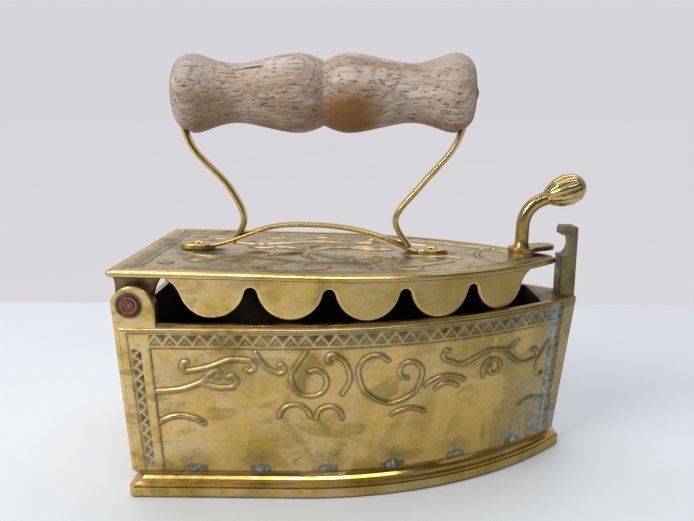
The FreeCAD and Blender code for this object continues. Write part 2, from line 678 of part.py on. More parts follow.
def arm_line(eye_x, swing, slope_share, foot):
    """Line of an arm: upright at the grip, a slope to its belly, then back out to its foot."""
    return [(eye_x, GRIP_Z), (eye_x, GRIP_Z - ARM_UPRIGHT), (eye_x + SHOULDER_SHARE * swing, ARM_SHOULDER_Z),
            (eye_x + slope_share * swing, ARM_SLOPE_Z), (eye_x + swing, ARM_BELLY_Z), foot]


def handle_arm(points, strap):
    """Bent arm that widens upward to an eye round the grip's rod."""
    arm = bar(points, ARM_T, ARM_TOP_W, ARM_FOOT_W)
    arm = arm.common(Part.makeBox(arm_span(), 40, 200, V(arm_outer_face(True), -20, 0)))
    eye = cylinder(ARM_TOP_W / 2, EYE_T, V(points[0][0] - EYE_T / 2, 0, GRIP_Z), AHEAD)
    arm = arm.fuse(eye).cut(strap)
    arm = arm.cut(cylinder(GRIP_ROD_R, 200, V(0, 0, GRIP_Z), AHEAD))
    return max(arm.Solids, key=lambda solid: solid.Volume)


def grip_profile():
    """Radius of the turned grip along its length, as points for a smooth line."""
    length = GRIP_X1 - GRIP_X0
    half = [(0.030, GRIP_FLARE_R - 1.1), (0.062, GRIP_FLARE_R), (0.105, 14.9), (0.19, GRIP_NECK_R),
            (0.27, 13.0), (0.38, GRIP_BULGE_R - 0.3), (0.425, GRIP_BULGE_R), (0.465, 15.0)]
    return [(share * length, radius) for share, radius in half]


def grip():
    length = GRIP_X1 - GRIP_X0
    middle = GRIP_X0 + length / 2
    profile = grip_profile()

    def p(run, radius, mirrored):
        x = GRIP_X1 - run if mirrored else GRIP_X0 + run
        return V(x, 0, GRIP_Z + radius)

    edges = []
    groove = V(middle, 0, GRIP_Z + GRIP_GROOVE_R)
    for mirrored in (False, True):
        end = GRIP_X1 if mirrored else GRIP_X0
        face_edge = V(end, 0, GRIP_Z + GRIP_FACE_R)
        side = Part.BSplineCurve()
        side.interpolate([face_edge] + [p(run, radius, mirrored) for run, radius in profile] + [groove])
        edges.append(side.toShape())
        edges.append(Part.makeLine(V(end, 0, GRIP_Z), face_edge))
    edges.append(Part.makeLine(V(GRIP_X0, 0, GRIP_Z), V(GRIP_X1, 0, GRIP_Z)))
    wood = Part.Face(Part.Wire(Part.__sortEdges__(edges))).revolve(V(0, 0, GRIP_Z), AHEAD, 360)
    if wood.ShapeType != "Solid":
        wood = Part.Solid(wood) if wood.ShapeType == "Shell" else wood.Solids[0]
    wood = wood.cut(cylinder(GRIP_ROD_R + 0.2, length + 20, V(GRIP_X0 - 10, 0, GRIP_Z), AHEAD))
    for mirrored in (False, True):
        face = GRIP_X1 if mirrored else GRIP_X0
        sign = -1 if mirrored else 1

        def q(run, z):
            return V(face + sign * run, 0, z)

        corners = [q(-6, GRIP_Z + 7), q(GRIP_SLOT_DEPTH, GRIP_Z + 7), q(GRIP_SLOT_DEPTH, GRIP_Z - 6),
                   q(GRIP_SLOT_DEPTH + 1.4, GRIP_Z - 11), q(GRIP_SLOT_DEPTH + 4.6, GRIP_Z - 18),
                   q(-6, GRIP_Z - 18), q(-6, GRIP_Z + 7)]
        wood = wood.cut(widened(Part.Face(Part.makePolygon(corners)), GRIP_SLOT_W / 2))
    return wood.removeSplitter()


def grip_washer(rear):
    x = arm_outer_face(rear)
    start = x - GRIP_WASHER_T if rear else x
    ring = cylinder(GRIP_WASHER_R, GRIP_WASHER_T, V(start, 0, GRIP_Z), AHEAD)
    return ring.cut(cylinder(GRIP_ROD_R, 10, V(start - 5, 0, GRIP_Z), AHEAD))


def grip_rod():
    x0 = arm_outer_face(True) - GRIP_WASHER_T
    x1 = arm_outer_face(False) + GRIP_WASHER_T
    rod = cylinder(GRIP_ROD_R, x1 - x0, V(x0, 0, GRIP_Z), AHEAD)
    rod = rod.fuse(dome(GRIP_HEAD_R, GRIP_HEAD_H, V(x0, 0, GRIP_Z), AHEAD * -1))
    rod = rod.fuse(dome(GRIP_HEAD_R, GRIP_HEAD_H, V(x1, 0, GRIP_Z), AHEAD))
    return rod.removeSplitter()


# ---- latch, drawn on the level lid --------------------------------------------------------------
def latch_floor():
    """Underside of the tongue."""
    return LID_TOP_Z - BORDER_H + LATCH_WASHER_T + LATCH_GAP


def latch_washer():
    z = LID_TOP_Z - BORDER_H
    ring = cylinder(LATCH_WASHER_R, LATCH_WASHER_T, V(LATCH_X, 0, z), UP)
    return tilt_lid(ring.cut(cylinder(SHANK_R + SHANK_CLEARANCE, 9, V(LATCH_X, 0, z - 1), UP)))


def latch_tongue():
    z = latch_floor()
    half = TONGUE_W / 2
    reach = TONGUE_REACH - half
    blade = Part.makeBox(reach, TONGUE_W, TONGUE_T, V(LATCH_X, -half, z))
    blade = blade.fuse(cylinder(half, TONGUE_T, V(LATCH_X + reach, 0, z), UP))
    blade = blade.fuse(cylinder(TONGUE_BOSS_R, TONGUE_T, V(LATCH_X, 0, z), UP))
    blade = blade.removeSplitter()
    blade = blade.makeFillet(TONGUE_ROUND, [edge for edge in blade.Edges if edge.BoundBox.ZMin > z + TONGUE_T - 0.1])
    blade = blade.cut(cylinder(SHANK_R, 10, V(LATCH_X, 0, z - 1), UP))
    blade.rotate(V(LATCH_X, 0, z), UP, LATCH_REST)
    return tilt_lid(blade)


def stem_path():
    """End of the bent stem and the direction in which it points there."""
    z = latch_floor() + TONGUE_T + STEM_STRAIGHT
    bend = math.radians(STEM_BEND)
    along = V(math.sin(bend), 0, math.cos(bend))
    bent = V(LATCH_X + STEM_BEND_R * (1 - math.cos(bend)), 0, z + STEM_BEND_R * math.sin(bend))
    return bent + along * STEM_TAIL, along


def latch_stem():
    foot = latch_floor() + TONGUE_T
    start = V(LATCH_X, 0, foot)
    stem = Part.makeCone(STEM_BASE_R, STEM_R, STEM_BASE_H, start, UP)
    stem = stem.fuse(cylinder(STEM_R, STEM_STRAIGHT, start, UP))
    face = Part.Face(Part.Wire(Part.Circle(start + UP * STEM_STRAIGHT, UP, STEM_R).toShape()))
    centre = start + V(STEM_BEND_R, 0, STEM_STRAIGHT)
    stem = stem.fuse(face.revolve(centre, LEFT, STEM_BEND))
    end, along = stem_path()
    stem = stem.fuse(cylinder(STEM_R, STEM_TAIL, end - along * STEM_TAIL, along))
    under = LID_TOP_Z - LID_T - UNDER_WASHER_T - LATCH_GAP
    stem = stem.fuse(cylinder(SHANK_R, foot - under, V(LATCH_X, 0, under), UP))
    stem = stem.fuse(dome(UNDER_HEAD_R, UNDER_HEAD_H, V(LATCH_X, 0, under), UP * -1))
    return tilt_lid(stem.removeSplitter())


def under_washer():
    z = LID_TOP_Z - LID_T - UNDER_WASHER_T - LATCH_GAP
    ring = cylinder(UNDER_WASHER_R, UNDER_WASHER_T, V(LATCH_X, 0, z), UP)
    return tilt_lid(ring.cut(cylinder(SHANK_R, 9, V(LATCH_X, 0, z - 1), UP)))


def bud_knob():
    """Bud on the end of the stem: round in section, widest past its middle."""
    end, along = stem_path()
    side = V(-along.z, 0, along.x)
    shares = [(0.0, STEM_NECK_R), (0.10, 4.2), (0.30, 6.1), (0.55, KNOB_R), (0.80, 5.8), (0.94, 3.4), (1.0, 0.0)]
    points = [end + along * (share * KNOB_L) + side * radius for share, radius in shares]
    curve = Part.BSplineCurve()
    curve.interpolate(points)
    edges = [curve.toShape(), Part.makeLine(points[-1], end), Part.makeLine(end, points[0])]
    bud = Part.Face(Part.Wire(Part.__sortEdges__(edges))).revolve(end, along, 360)
    return tilt_lid(bud if bud.ShapeType == "Solid" else bud.Solids[0])


# ---- export -------------------------------------------------------------------------------------
def export(name, shape):
    moved = shape.copy()
    moved.translate(V(-SOLE_MID_X, 0, 0))
    solids = moved.Solids
    good = all(solid.isValid() and solid.Volume > 0 for solid in solids)
    print(f"{name}: {len(solids)} solid(s), {sum(s.Volume for s in solids) / 1000:.2f} cm3, valid {good}")
    whole = solids[0] if len(solids) == 1 else Part.makeCompound(solids)
    whole.exportStep(f"parts/{name}.step")


def main():
    os.makedirs("parts", exist_ok=True)
    strap = handle_strap()
    pieces = {
        "body_walls": body_walls(),
        "sole_plate": sole_plate(),
        "sole_rivets": sole_rivets(),
        "latch_post": latch_post(),
        "fire_grate": fire_grate(),
        "grate_legs": grate_legs(),
        "hinge_pins": hinge_pins(),
        "hinge_washers": hinge_washers(),
        "hinge_lug_right": hinge_lug(-1),
        "hinge_lug_left": hinge_lug(1),
        "lid_plate": lid_plate(),
        "handle_strap": strap,
        "rear_arm": handle_arm(arm_line(REAR_EYE_X, REAR_SWING, REAR_SLOPE_SHARE, REAR_ARM_FOOT), strap),
        "front_arm": handle_arm(arm_line(FRONT_EYE_X, -FRONT_SWING, FRONT_SLOPE_SHARE, FRONT_ARM_FOOT), strap),
        "rear_foot_spacer": foot_spacer(REAR_PAD_X),
        "front_foot_spacer": foot_spacer(FRONT_PAD_X),
        "rear_foot_rivet": foot_rivet(REAR_PAD_X),
        "front_foot_rivet": foot_rivet(FRONT_PAD_X),
        "grip": grip(),
        "grip_rod": grip_rod(),
        "rear_grip_washer": grip_washer(True),
        "front_grip_washer": grip_washer(False),
        "latch_washer": latch_washer(),
        "latch_tongue": latch_tongue(),
        "latch_stem": latch_stem(),
        "bud_knob": bud_knob(),
        "latch_under_washer": under_washer(),
    }
    for name, shape in pieces.items():
        export(name, shape)


main()
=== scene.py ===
"""Looks of the charcoal box iron: cast relief, patina, weathered wood, camera and light."""
import math

import bpy
import numpy as np
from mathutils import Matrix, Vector


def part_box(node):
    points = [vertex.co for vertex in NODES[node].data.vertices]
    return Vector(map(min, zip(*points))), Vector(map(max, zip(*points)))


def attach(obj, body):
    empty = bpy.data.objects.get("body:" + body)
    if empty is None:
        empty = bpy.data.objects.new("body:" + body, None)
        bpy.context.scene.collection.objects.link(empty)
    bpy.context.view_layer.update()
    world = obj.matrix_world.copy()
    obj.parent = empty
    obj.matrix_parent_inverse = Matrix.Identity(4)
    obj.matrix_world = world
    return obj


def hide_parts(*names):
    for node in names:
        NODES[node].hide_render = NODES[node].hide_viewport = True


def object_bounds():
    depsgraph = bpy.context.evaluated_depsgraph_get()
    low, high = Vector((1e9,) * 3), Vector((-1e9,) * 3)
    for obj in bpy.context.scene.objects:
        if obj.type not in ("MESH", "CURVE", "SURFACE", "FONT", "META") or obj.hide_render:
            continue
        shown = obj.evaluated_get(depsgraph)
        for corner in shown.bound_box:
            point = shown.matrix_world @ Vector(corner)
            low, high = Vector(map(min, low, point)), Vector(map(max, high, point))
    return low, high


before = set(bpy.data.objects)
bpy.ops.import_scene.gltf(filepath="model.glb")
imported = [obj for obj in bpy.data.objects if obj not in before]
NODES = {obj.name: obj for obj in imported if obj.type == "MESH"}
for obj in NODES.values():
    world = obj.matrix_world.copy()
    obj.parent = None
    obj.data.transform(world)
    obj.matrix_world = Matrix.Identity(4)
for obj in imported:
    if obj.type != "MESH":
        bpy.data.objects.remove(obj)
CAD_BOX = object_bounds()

MM = 0.001

# ---- driving sizes, in millimetres in the drawing frame: x counted as in the solids ----
SOLE_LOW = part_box("sole_plate")[0]
SHIFT_X = 3.0 - SOLE_LOW.x / MM     # drawing x minus row-frame x
RIM_Z = 69.4
FOOT_Z = 8.5
RIM = dict(half=51.5, rear=0.7, shoulder=62.0, tip=185.5, nose=4.5)
FOOT = dict(half=47.3, rear=2.8, shoulder=66.0, tip=178.6, nose=4.0)
LID = dict(half=50.0, rear=-1.4, shoulder=75.0, tip=176.0, nose=3.0)
LID_TOP_Z = 89.4
LID_TILT = math.radians(1.25)
BORDER_H = 0.8
BORDER_W = 4.5
PIN = (7.9, 77.1)
SKIRT_INSET = 0.9
SKIRT_T = 2.2
LOBE_R, GAP_R = 11.5, 3.3
LOBE_PITCH, LOBE_DROP, FIRST_LOBE, LOBES = 29.0, 16.3, 38.2, 5
COVE_FROM, COVE_REACH, COVE_SAG = math.radians(72.0), 5.0, 0.9
LATCH_X = 161.5
GRID = 0.45                         # spacing of the relief's points
PLATE_BACK = 0.35                   # how far the relief plates reach into the metal behind them


def to_row(points):
    """Row-frame metres from drawing millimetres."""
    points = np.asarray(points, float).reshape(-1, 3)
    return (points - [SHIFT_X, 0, 0]) * MM


def with_arc(plan):
    run, drop = plan["tip"] - plan["shoulder"], plan["half"] - plan["nose"]
    radius = (run * run + drop * drop) / (2 * drop)
    return dict(plan, radius=radius, centre=plan["half"] - radius, reach=math.asin(run / radius) * radius)


def wall_plan(z):
    share = (z - FOOT_Z) / (RIM_Z - FOOT_Z)
    return with_arc({k: FOOT[k] + (RIM[k] - FOOT[k]) * share for k in RIM})


def inset_plan(plan, gap, nose):
    plan = with_arc(plan)
    radius = plan["radius"] - gap
    tip = plan["shoulder"] + math.sqrt(radius ** 2 - (nose - plan["centre"]) ** 2)
    return with_arc(dict(half=plan["half"] - gap, rear=plan["rear"] + gap, shoulder=plan["shoulder"], tip=tip,
                         nose=nose))


def smooth(low, high, value):
    t = np.clip((value - low) / (high - low), 0, 1)
    return t * t * (3 - 2 * t)


# ---- strokes: smooth lines through a few points, and the distance to them -----------------------
def curve_through(points, steps=8):
    """Catmull-Rom line through the points."""
    p = np.array([points[0], *points, points[-1]], float)
    out = []
    for i in range(1, len(p) - 2):
        for t in np.linspace(0, 1, steps, endpoint=False):
            a, b, c, d = p[i - 1:i + 3]
            out.append(0.5 * (2 * b + (c - a) * t + (2 * a - 5 * b + 4 * c - d) * t ** 2
                              + (3 * b - a - 3 * c + d) * t ** 3))
    return np.array([*out, p[-1]])


CURL_STEP = 40.0       # degrees between a curl's points
ARC_STEPS = 6


def volute(x, z, radius, start_deg, sweep_deg, tight=0.4):
    """Points of a curl round (x, z) that narrows from its radius as it turns."""
    points = []
    steps = max(3, round(abs(sweep_deg) / CURL_STEP))
    for i in range(steps + 1):
        share = i / steps
        turn = math.radians(start_deg + sweep_deg * share)
        r = radius * (1 - (1 - tight) * share)
        points.append((x + r * math.cos(turn), z + r * math.sin(turn)))
    return points


def bow(x0, x1, z, rise):
    """Round arc from x0 to x1 with its ends at z and its middle higher by the rise."""
    half = (x1 - x0) / 2
    radius = (half * half + rise * rise) / (2 * rise)
    reach = math.asin(min(1.0, half / radius))
    turns = [reach * (2 * i / ARC_STEPS - 1) for i in range(ARC_STEPS + 1)]
    return [(x0 + half + radius * math.sin(t), z + rise - radius * (1 - math.cos(t))) for t in turns]


def stroke(stem, curl_in=None, curl_out=None):
    """A scroll: a stem through its points, with a curl at either end."""
    head = volute(*curl_in)[::-1] if curl_in else []
    tail = volute(*curl_out) if curl_out else []
    return head + stem + tail


def distance_to(line, u, v):
    """Distance from every (u, v) to a line of points."""
    best = np.full(u.shape, 1e9)
    near = (u > line[:, 0].min() - 4) & (u < line[:, 0].max() + 4)
    near &= (v > line[:, 1].min() - 4) & (v < line[:, 1].max() + 4)
    pu, pv = u[near], v[near]
    found = np.full(pu.shape, 1e9)
    for a, b in zip(line[:-1], line[1:]):
        along = b - a
        size = max(float(along @ along), 1e-9)
        t = np.clip(((pu - a[0]) * along[0] + (pv - a[1]) * along[1]) / size, 0, 1)
        found = np.minimum(found, (pu - a[0] - t * along[0]) ** 2 + (pv - a[1] - t * along[1]) ** 2)
    best[near] = np.sqrt(found)
    return best


def zigzag(along, across, period, low, high):
    """Distance from a zigzag line that runs between two levels."""
    phase = np.abs((along / period) % 1 * 2 - 1)
    level = low + (high - low) * phase
    slope = 2 * (high - low) / period
    return np.abs(across - level) / np.sqrt(1 + slope * slope)


# ---- wall relief --------------------------------------------------------------------------------
# places are (x, z) in millimetres on the wall's face; a curl is x, z, radius, start and sweep in degrees
TWIGS = [
    stroke([(36, 53), (44, 56)], (28, 54, 2.5, 275, -190), (51, 53, 3, 100, -220)),
    stroke([(16, 43), (25, 44), (33, 47), (36, 50)], None, (39, 50, 1.8, 110, -200)),
    stroke([(33, 47), (38, 45)], None, (44, 48, 3.2, 260, 220)),
    stroke([(54, 59), (57, 54)], None, (63, 53, 2.5, 230, 240)),
]
LYRE = [
    stroke([(73, 60), (68, 52)], None, (75, 48, 8, 180, 290, 0.45)),
    stroke([(86, 42), (89, 48), (87, 55)], None, (82, 56, 2.5, 30, 220)),
]
APPLE = [stroke([(95, 42), (104, 37), (113, 40)], (99, 51, 7, 190, -150, 0.8), (111, 49, 6, 330, 290, 0.35))]
FRONT_VINES = [
    stroke([(133, 50), (144, 54), (152, 53), (157, 56)], (127, 55, 3, 280, -210)),
    stroke([(142, 43)], None, (146, 46, 4.5, 180, -400, 0.3)),
    stroke([(152, 51), (158, 46)], None, (164, 49, 3.2, 270, 190)),
    stroke([(172, 52), (167, 45)], None, (169, 39, 2.2, 170, 160)),
]
SHORT_ARCS = [
    bow(62, 74, 33, 5),
    bow(76, 86, 32, 5),
    bow(16, 33, 30, 3),
    bow(118, 134, 43, 3),
    bow(122, 131, 41, 2),
    bow(105, 118, 32, 2),
    bow(159, 170, 26, 2),
]
WALL_SCROLLS = TWIGS + LYRE + APPLE + FRONT_VINES + SHORT_ARCS
PANEL_TOP_Z = 60.7
CHEVRON_LOW_Z, CHEVRON_HIGH_Z = 62.0, 65.6
BAND_TOP_Z = 66.6
RIVET_X = [29.0 + 25.6 * i for i in range(6)]


def along_wall(x, z):
    """Length along the wall's face from the drawing's x."""
    share = (np.asarray(z, float) - FOOT_Z) / (RIM_Z - FOOT_Z)
    plan = {k: FOOT[k] + (RIM[k] - FOOT[k]) * share for k in RIM}
    run, drop = plan["tip"] - plan["shoulder"], plan["half"] - plan["nose"]
    radius = (run * run + drop * drop) / (2 * drop)
    over = np.maximum(0, x - plan["shoulder"])
    return np.minimum(x, plan["shoulder"]) + radius * np.arcsin(over / radius)


def wall_height(s, z):
    """Height of the relief over the wall's face, with the dark marks and the blue bloom that lie in it: the
    dark marks are mostly painted shade in the relief's hollows, with real grime and crust round the rivets.
    """
    left = 14.6 + (PANEL_TOP_Z - z) * 0.035
    band_left = 6.6 + (BAND_TOP_Z - z) * 0.05
    right = along_wall(173.8 - (PANEL_TOP_Z - z) * 0.07, z)
    beads_at = right + 2.0
    inside = np.minimum(np.minimum(s - left, right - s), PANEL_TOP_Z - z)
    height = 0.75 - 0.50 * smooth(-0.5, 0.3, inside)
    # painted shade: a dark line at the foot of the frame's step down into the panel
    shade_and_dirt = 0.95 * np.exp(-((inside - 0.3) / 0.42) ** 2)
    # plain rim, divided off by a groove painted dark as its shade
    groove = np.minimum(np.abs(z - BAND_TOP_Z) + 9 * (s < band_left),
                        np.abs(s - band_left) + 9 * (z > BAND_TOP_Z))
    height -= 0.30 * np.exp(-(groove / 0.45) ** 2)
    shade_and_dirt = np.maximum(shade_and_dirt, 0.8 * np.exp(-(groove / 0.45) ** 2))
    # chevrons under the rim, with painted shadow between the raised strokes
    band = smooth(band_left + 7.6, band_left + 8.4, s) * smooth(0, 0.5, BAND_TOP_Z - 0.4 - z)
    band *= smooth(0, 0.5, z - (CHEVRON_LOW_Z - 0.5)) * smooth(0, 0.6, right - s)
    line = zigzag(s, z, 5.6, CHEVRON_LOW_Z, CHEVRON_HIGH_Z)
    inner = zigzag(s, z, 5.6, CHEVRON_LOW_Z - 2.6, CHEVRON_HIGH_Z - 2.3)
    inner += 9 * (z < CHEVRON_LOW_Z - 0.3)
    rise = 0.50 * np.exp(-(line / 0.45) ** 2) + 0.25 * np.exp(-(inner / 0.35) ** 2)
    height += band * (rise - 0.46)
    shade_and_dirt = np.maximum(shade_and_dirt, band * np.clip(1.0 - rise * 2.4, 0, 1) * 0.95)
    # upright zigzag beside the rear corner, with painted shadow between its raised strokes
    width = left - 3.0 - band_left
    side = smooth(0.6, 1.1, s - band_left) * smooth(0, 0.5, left - 3.0 - s) * smooth(9.0, 14.0, z)
    side *= smooth(0, 0.8, 60.5 - z)
    line = zigzag(z, s, 4.6, band_left + 1.3, band_left + np.maximum(width - 0.6, 1.5))
    rise = 0.46 * np.exp(-(line / 0.48) ** 2)
    height += side * (rise - 0.46)
    shade_and_dirt = np.maximum(shade_and_dirt, side * np.clip(1.0 - rise * 2.4, 0, 1) * 0.95)
    # beads beside the nose: raised rings, painted dark inside and between them as their shade
    beads = smooth(0, 0.4, s - beads_at) * smooth(0, 0.4, beads_at + 3.6 - s) * smooth(10, 12, z)
    cell = (z / 3.3) % 1 - 0.5
    ring = 0.5 * np.exp(-((np.hypot(cell * 3.3, s - beads_at - 1.8) - 0.85) / 0.42) ** 2)
    height += beads * (ring - 0.46)
    shade_and_dirt = np.maximum(shade_and_dirt, beads * np.clip(1.0 - ring * 2.2, 0, 1))
    # scrolls: strong near the rear, worn thin toward the nose, with painted shade in the hollow along their
    # feet
    closest = np.full(s.shape, 1e9)
    for points in WALL_SCROLLS:
        line = curve_through(points)
        line[:, 0] = along_wall(line[:, 0], line[:, 1])
        closest = np.minimum(closest, distance_to(line, s, z))
    in_panel = smooth(0.0, 0.6, inside)
    wide = 0.66 - 0.16 * smooth(45, 70, s)
    height += in_panel * (0.85 * np.exp(-(closest / wide) ** 2)
                          - 0.16 * np.exp(-((closest - wide * 2.1) / 0.45) ** 2))
    shade_and_dirt = np.maximum(shade_and_dirt, in_panel * 0.85 * np.exp(-((closest - wide * 1.95) / 0.34) ** 2))
    haze = np.exp(-(((s - 40) / 26) ** 2 + ((z - 50) / 9) ** 2))
    shade_and_dirt = np.maximum(shade_and_dirt, in_panel * 0.34 * haze)
    streak = distance_to(np.array([(62.0, 35.0), (70.0, 22.0), (77.0, 11.0)]), s, z)
    shade_and_dirt = np.maximum(shade_and_dirt, 0.30 * np.exp(-(streak / 1.6) ** 2))
    # gentle unevenness of old cast brass
    height += 0.07 * np.sin(s * 0.21 + 1.3 * np.sin(z * 0.17)) * np.sin(z * 0.19 + 0.6 * np.sin(s * 0.11))
    # crust round the rivets and up the nose
    bloom = np.zeros(s.shape)
    for place in along_wall(np.array(RIVET_X), 10.8):
        wobble = 0.8 * np.sin(s * 2.1 + place) + 0.5 * np.sin(z * 3.3 + place)
        around = np.hypot((s - place) / 1.0, (z - 10.2) / 0.55) + wobble * 0.7
        bloom = np.maximum(bloom, 1.6 * smooth(3.6, 0.8, around))
        shade_and_dirt = np.maximum(shade_and_dirt, 0.9 * smooth(5.6, 3.4, around))
        smear = np.exp(-(((s - place) / 6.0) ** 2 + ((z - 15.0) / 3.6) ** 2))
        shade_and_dirt = np.maximum(shade_and_dirt, 0.42 * smear)
        height += 0.25 * smooth(4.0, 0.8, around)
    ahead = smooth(140, 184, s)
    bloom = np.maximum(bloom, ahead * (0.20 + 0.50 * smooth(40, 12, z))
                       + 0.75 * np.exp(-((s - right) / 2.4) ** 2))
    bloom = np.maximum(bloom, 0.45 * side * smooth(34, 14, z) + band * ahead * 0.5)
    shade_and_dirt = np.maximum(shade_and_dirt, 0.35 * ahead * smooth(45, 14, z))
    return height, np.clip(shade_and_dirt, 0, 1), np.clip(bloom, 0, 1)


def wall_surface(s, z, height, side):
    """Points on the wall's outer face, lifted by a height along its normal."""
    out = np.zeros((s.size, 3))
    for row in np.unique(z):
        plan = wall_plan(float(row))
        pick = z == row
        turn = np.maximum(0, s[pick] - plan["shoulder"]) / plan["radius"]
        x = np.minimum(s[pick], plan["shoulder"]) + plan["radius"] * np.sin(turn)
        y = plan["centre"] + plan["radius"] * np.cos(turn)
        out[pick, 0] = x + height[pick] * np.sin(turn)
        out[pick, 1] = side * (y + height[pick] * np.cos(turn))
        out[pick, 2] = row
    return out


# ---- mesh helpers -------------------------------------------------------------------------------
def mesh_piece(name, points, faces, body, material, attributes=None, smooth_faces=True):
    mesh = bpy.data.meshes.new(name)
    mesh.from_pydata([tuple(p) for p in points], [], [tuple(f) for f in faces])
    for key, values in (attributes or {}).items():
        layer = mesh.attributes.new(key, "FLOAT", "POINT")
        layer.data.foreach_set("value", np.asarray(values, np.float32))
    mesh.materials.append(material)
    mesh.validate()
    if smooth_faces:
        mesh.shade_smooth()
    piece = bpy.data.objects.new(name, mesh)
    bpy.context.scene.collection.objects.link(piece)
    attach(piece, body)
    return piece


def grid_plate(front, back, rows, cols):
    """Closed plate from two grids of points: faces of the front, the back and the rim round them."""
    count = rows * cols
    index = np.arange(count).reshape(rows, cols)
    a, b, c, d = index[:-1, :-1], index[:-1, 1:], index[1:, 1:], index[1:, :-1]
    top = np.stack([a, b, c, d], -1).reshape(-1, 4)
    bottom = top[:, ::-1] + count
    loop = np.concatenate([index[0, :], index[1:, -1], index[-1, -2::-1], index[-2:0:-1, 0]])
    after = np.roll(loop, -1)
    rim = np.stack([after, loop, loop + count, after + count], -1)
    return np.concatenate([front, back]), np.concatenate([top, bottom, rim])


def relief_wall(side, material):
    """Cast relief over one side wall, as a thin plate let into the wall's face."""
    rows = int((RIM_Z - 1.0 - (FOOT_Z + 0.1)) / GRID)
    cols = int(196 / GRID)
    z_line = np.linspace(FOOT_Z + 0.1, RIM_Z - 1.0, rows)
    share = np.linspace(0, 1, cols)
    s = np.zeros((rows, cols))
    for i, row in enumerate(z_line):
        plan = wall_plan(row)
        low, high = plan["rear"] + 2.6, plan["shoulder"] + plan["reach"] - 0.2
        s[i] = low + (high - low) * share
    z = np.repeat(z_line[:, None], cols, 1)
    height, shade_and_dirt, bloom = wall_height(s, z)
    edge = np.minimum(s - s[:, :1], s[:, -1:] - s)
    edge = np.minimum(edge, np.minimum(z - z_line[0], z_line[-1] - z))
    height = 0.02 + (height - 0.02) * smooth(0, 0.9, edge)
    front = to_row(wall_surface(s.ravel(), z.ravel(), height.ravel(), side))
    back = to_row(wall_surface(s.ravel(), z.ravel(), np.full(s.size, -PLATE_BACK), side))
    points, faces = grid_plate(front, back, rows, cols)
    if side > 0:
        faces = faces[:, ::-1]
    name = "wall_relief_left" if side > 0 else "wall_relief_right"
    blank = np.zeros(shade_and_dirt.size)
    layers = {"shade_and_dirt": np.concatenate([shade_and_dirt.ravel(), blank]), "bloom": np.concatenate([bloom.ravel(), blank])}
    piece = mesh_piece(name, points, faces, "fire_box", material, layers)
    return piece


# ---- lid relief ---------------------------------------------------------------------------------
LID_VINES = [
    [(16, 8), (24, 14), (34, 17), (46, 14), (58, 18), (72, 24), (88, 22), (104, 26), (118, 22), (130, 14)],
    [(24, 14), (22, 20), (26, 25), (32, 24), (33, 20), (30, 19)],
    [(46, 14), (44, 8), (49, 5), (54, 8), (53, 11)],
    [(72, 24), (69, 30), (73, 35), (79, 33), (79, 29)],
    [(88, 22), (90, 15), (96, 12), (100, 16), (98, 19)],
    [(104, 26), (108, 31), (114, 31), (116, 27)],
    [(70, 1), (64, 6), (55, 9), (49, 14)],
    [(70, 1), (77, 8), (88, 10), (99, 7), (106, 9), (105, 13)],
    [(70, 1), (69, 9), (73, 15)],
    [(112, 3), (120, 6), (128, 4), (134, 7)],
]
LID_LEAVES = [(40, 22, 9, 20), (60, 26, 8, -25), (96, 30, 9, 10), (84, 14, 8, -10), (122, 12, 8, -20),
              (16, 30, 8, 40)]
ROSETTES = [(52, 33), (101, 30)]
ROSETTE_R = 6.0


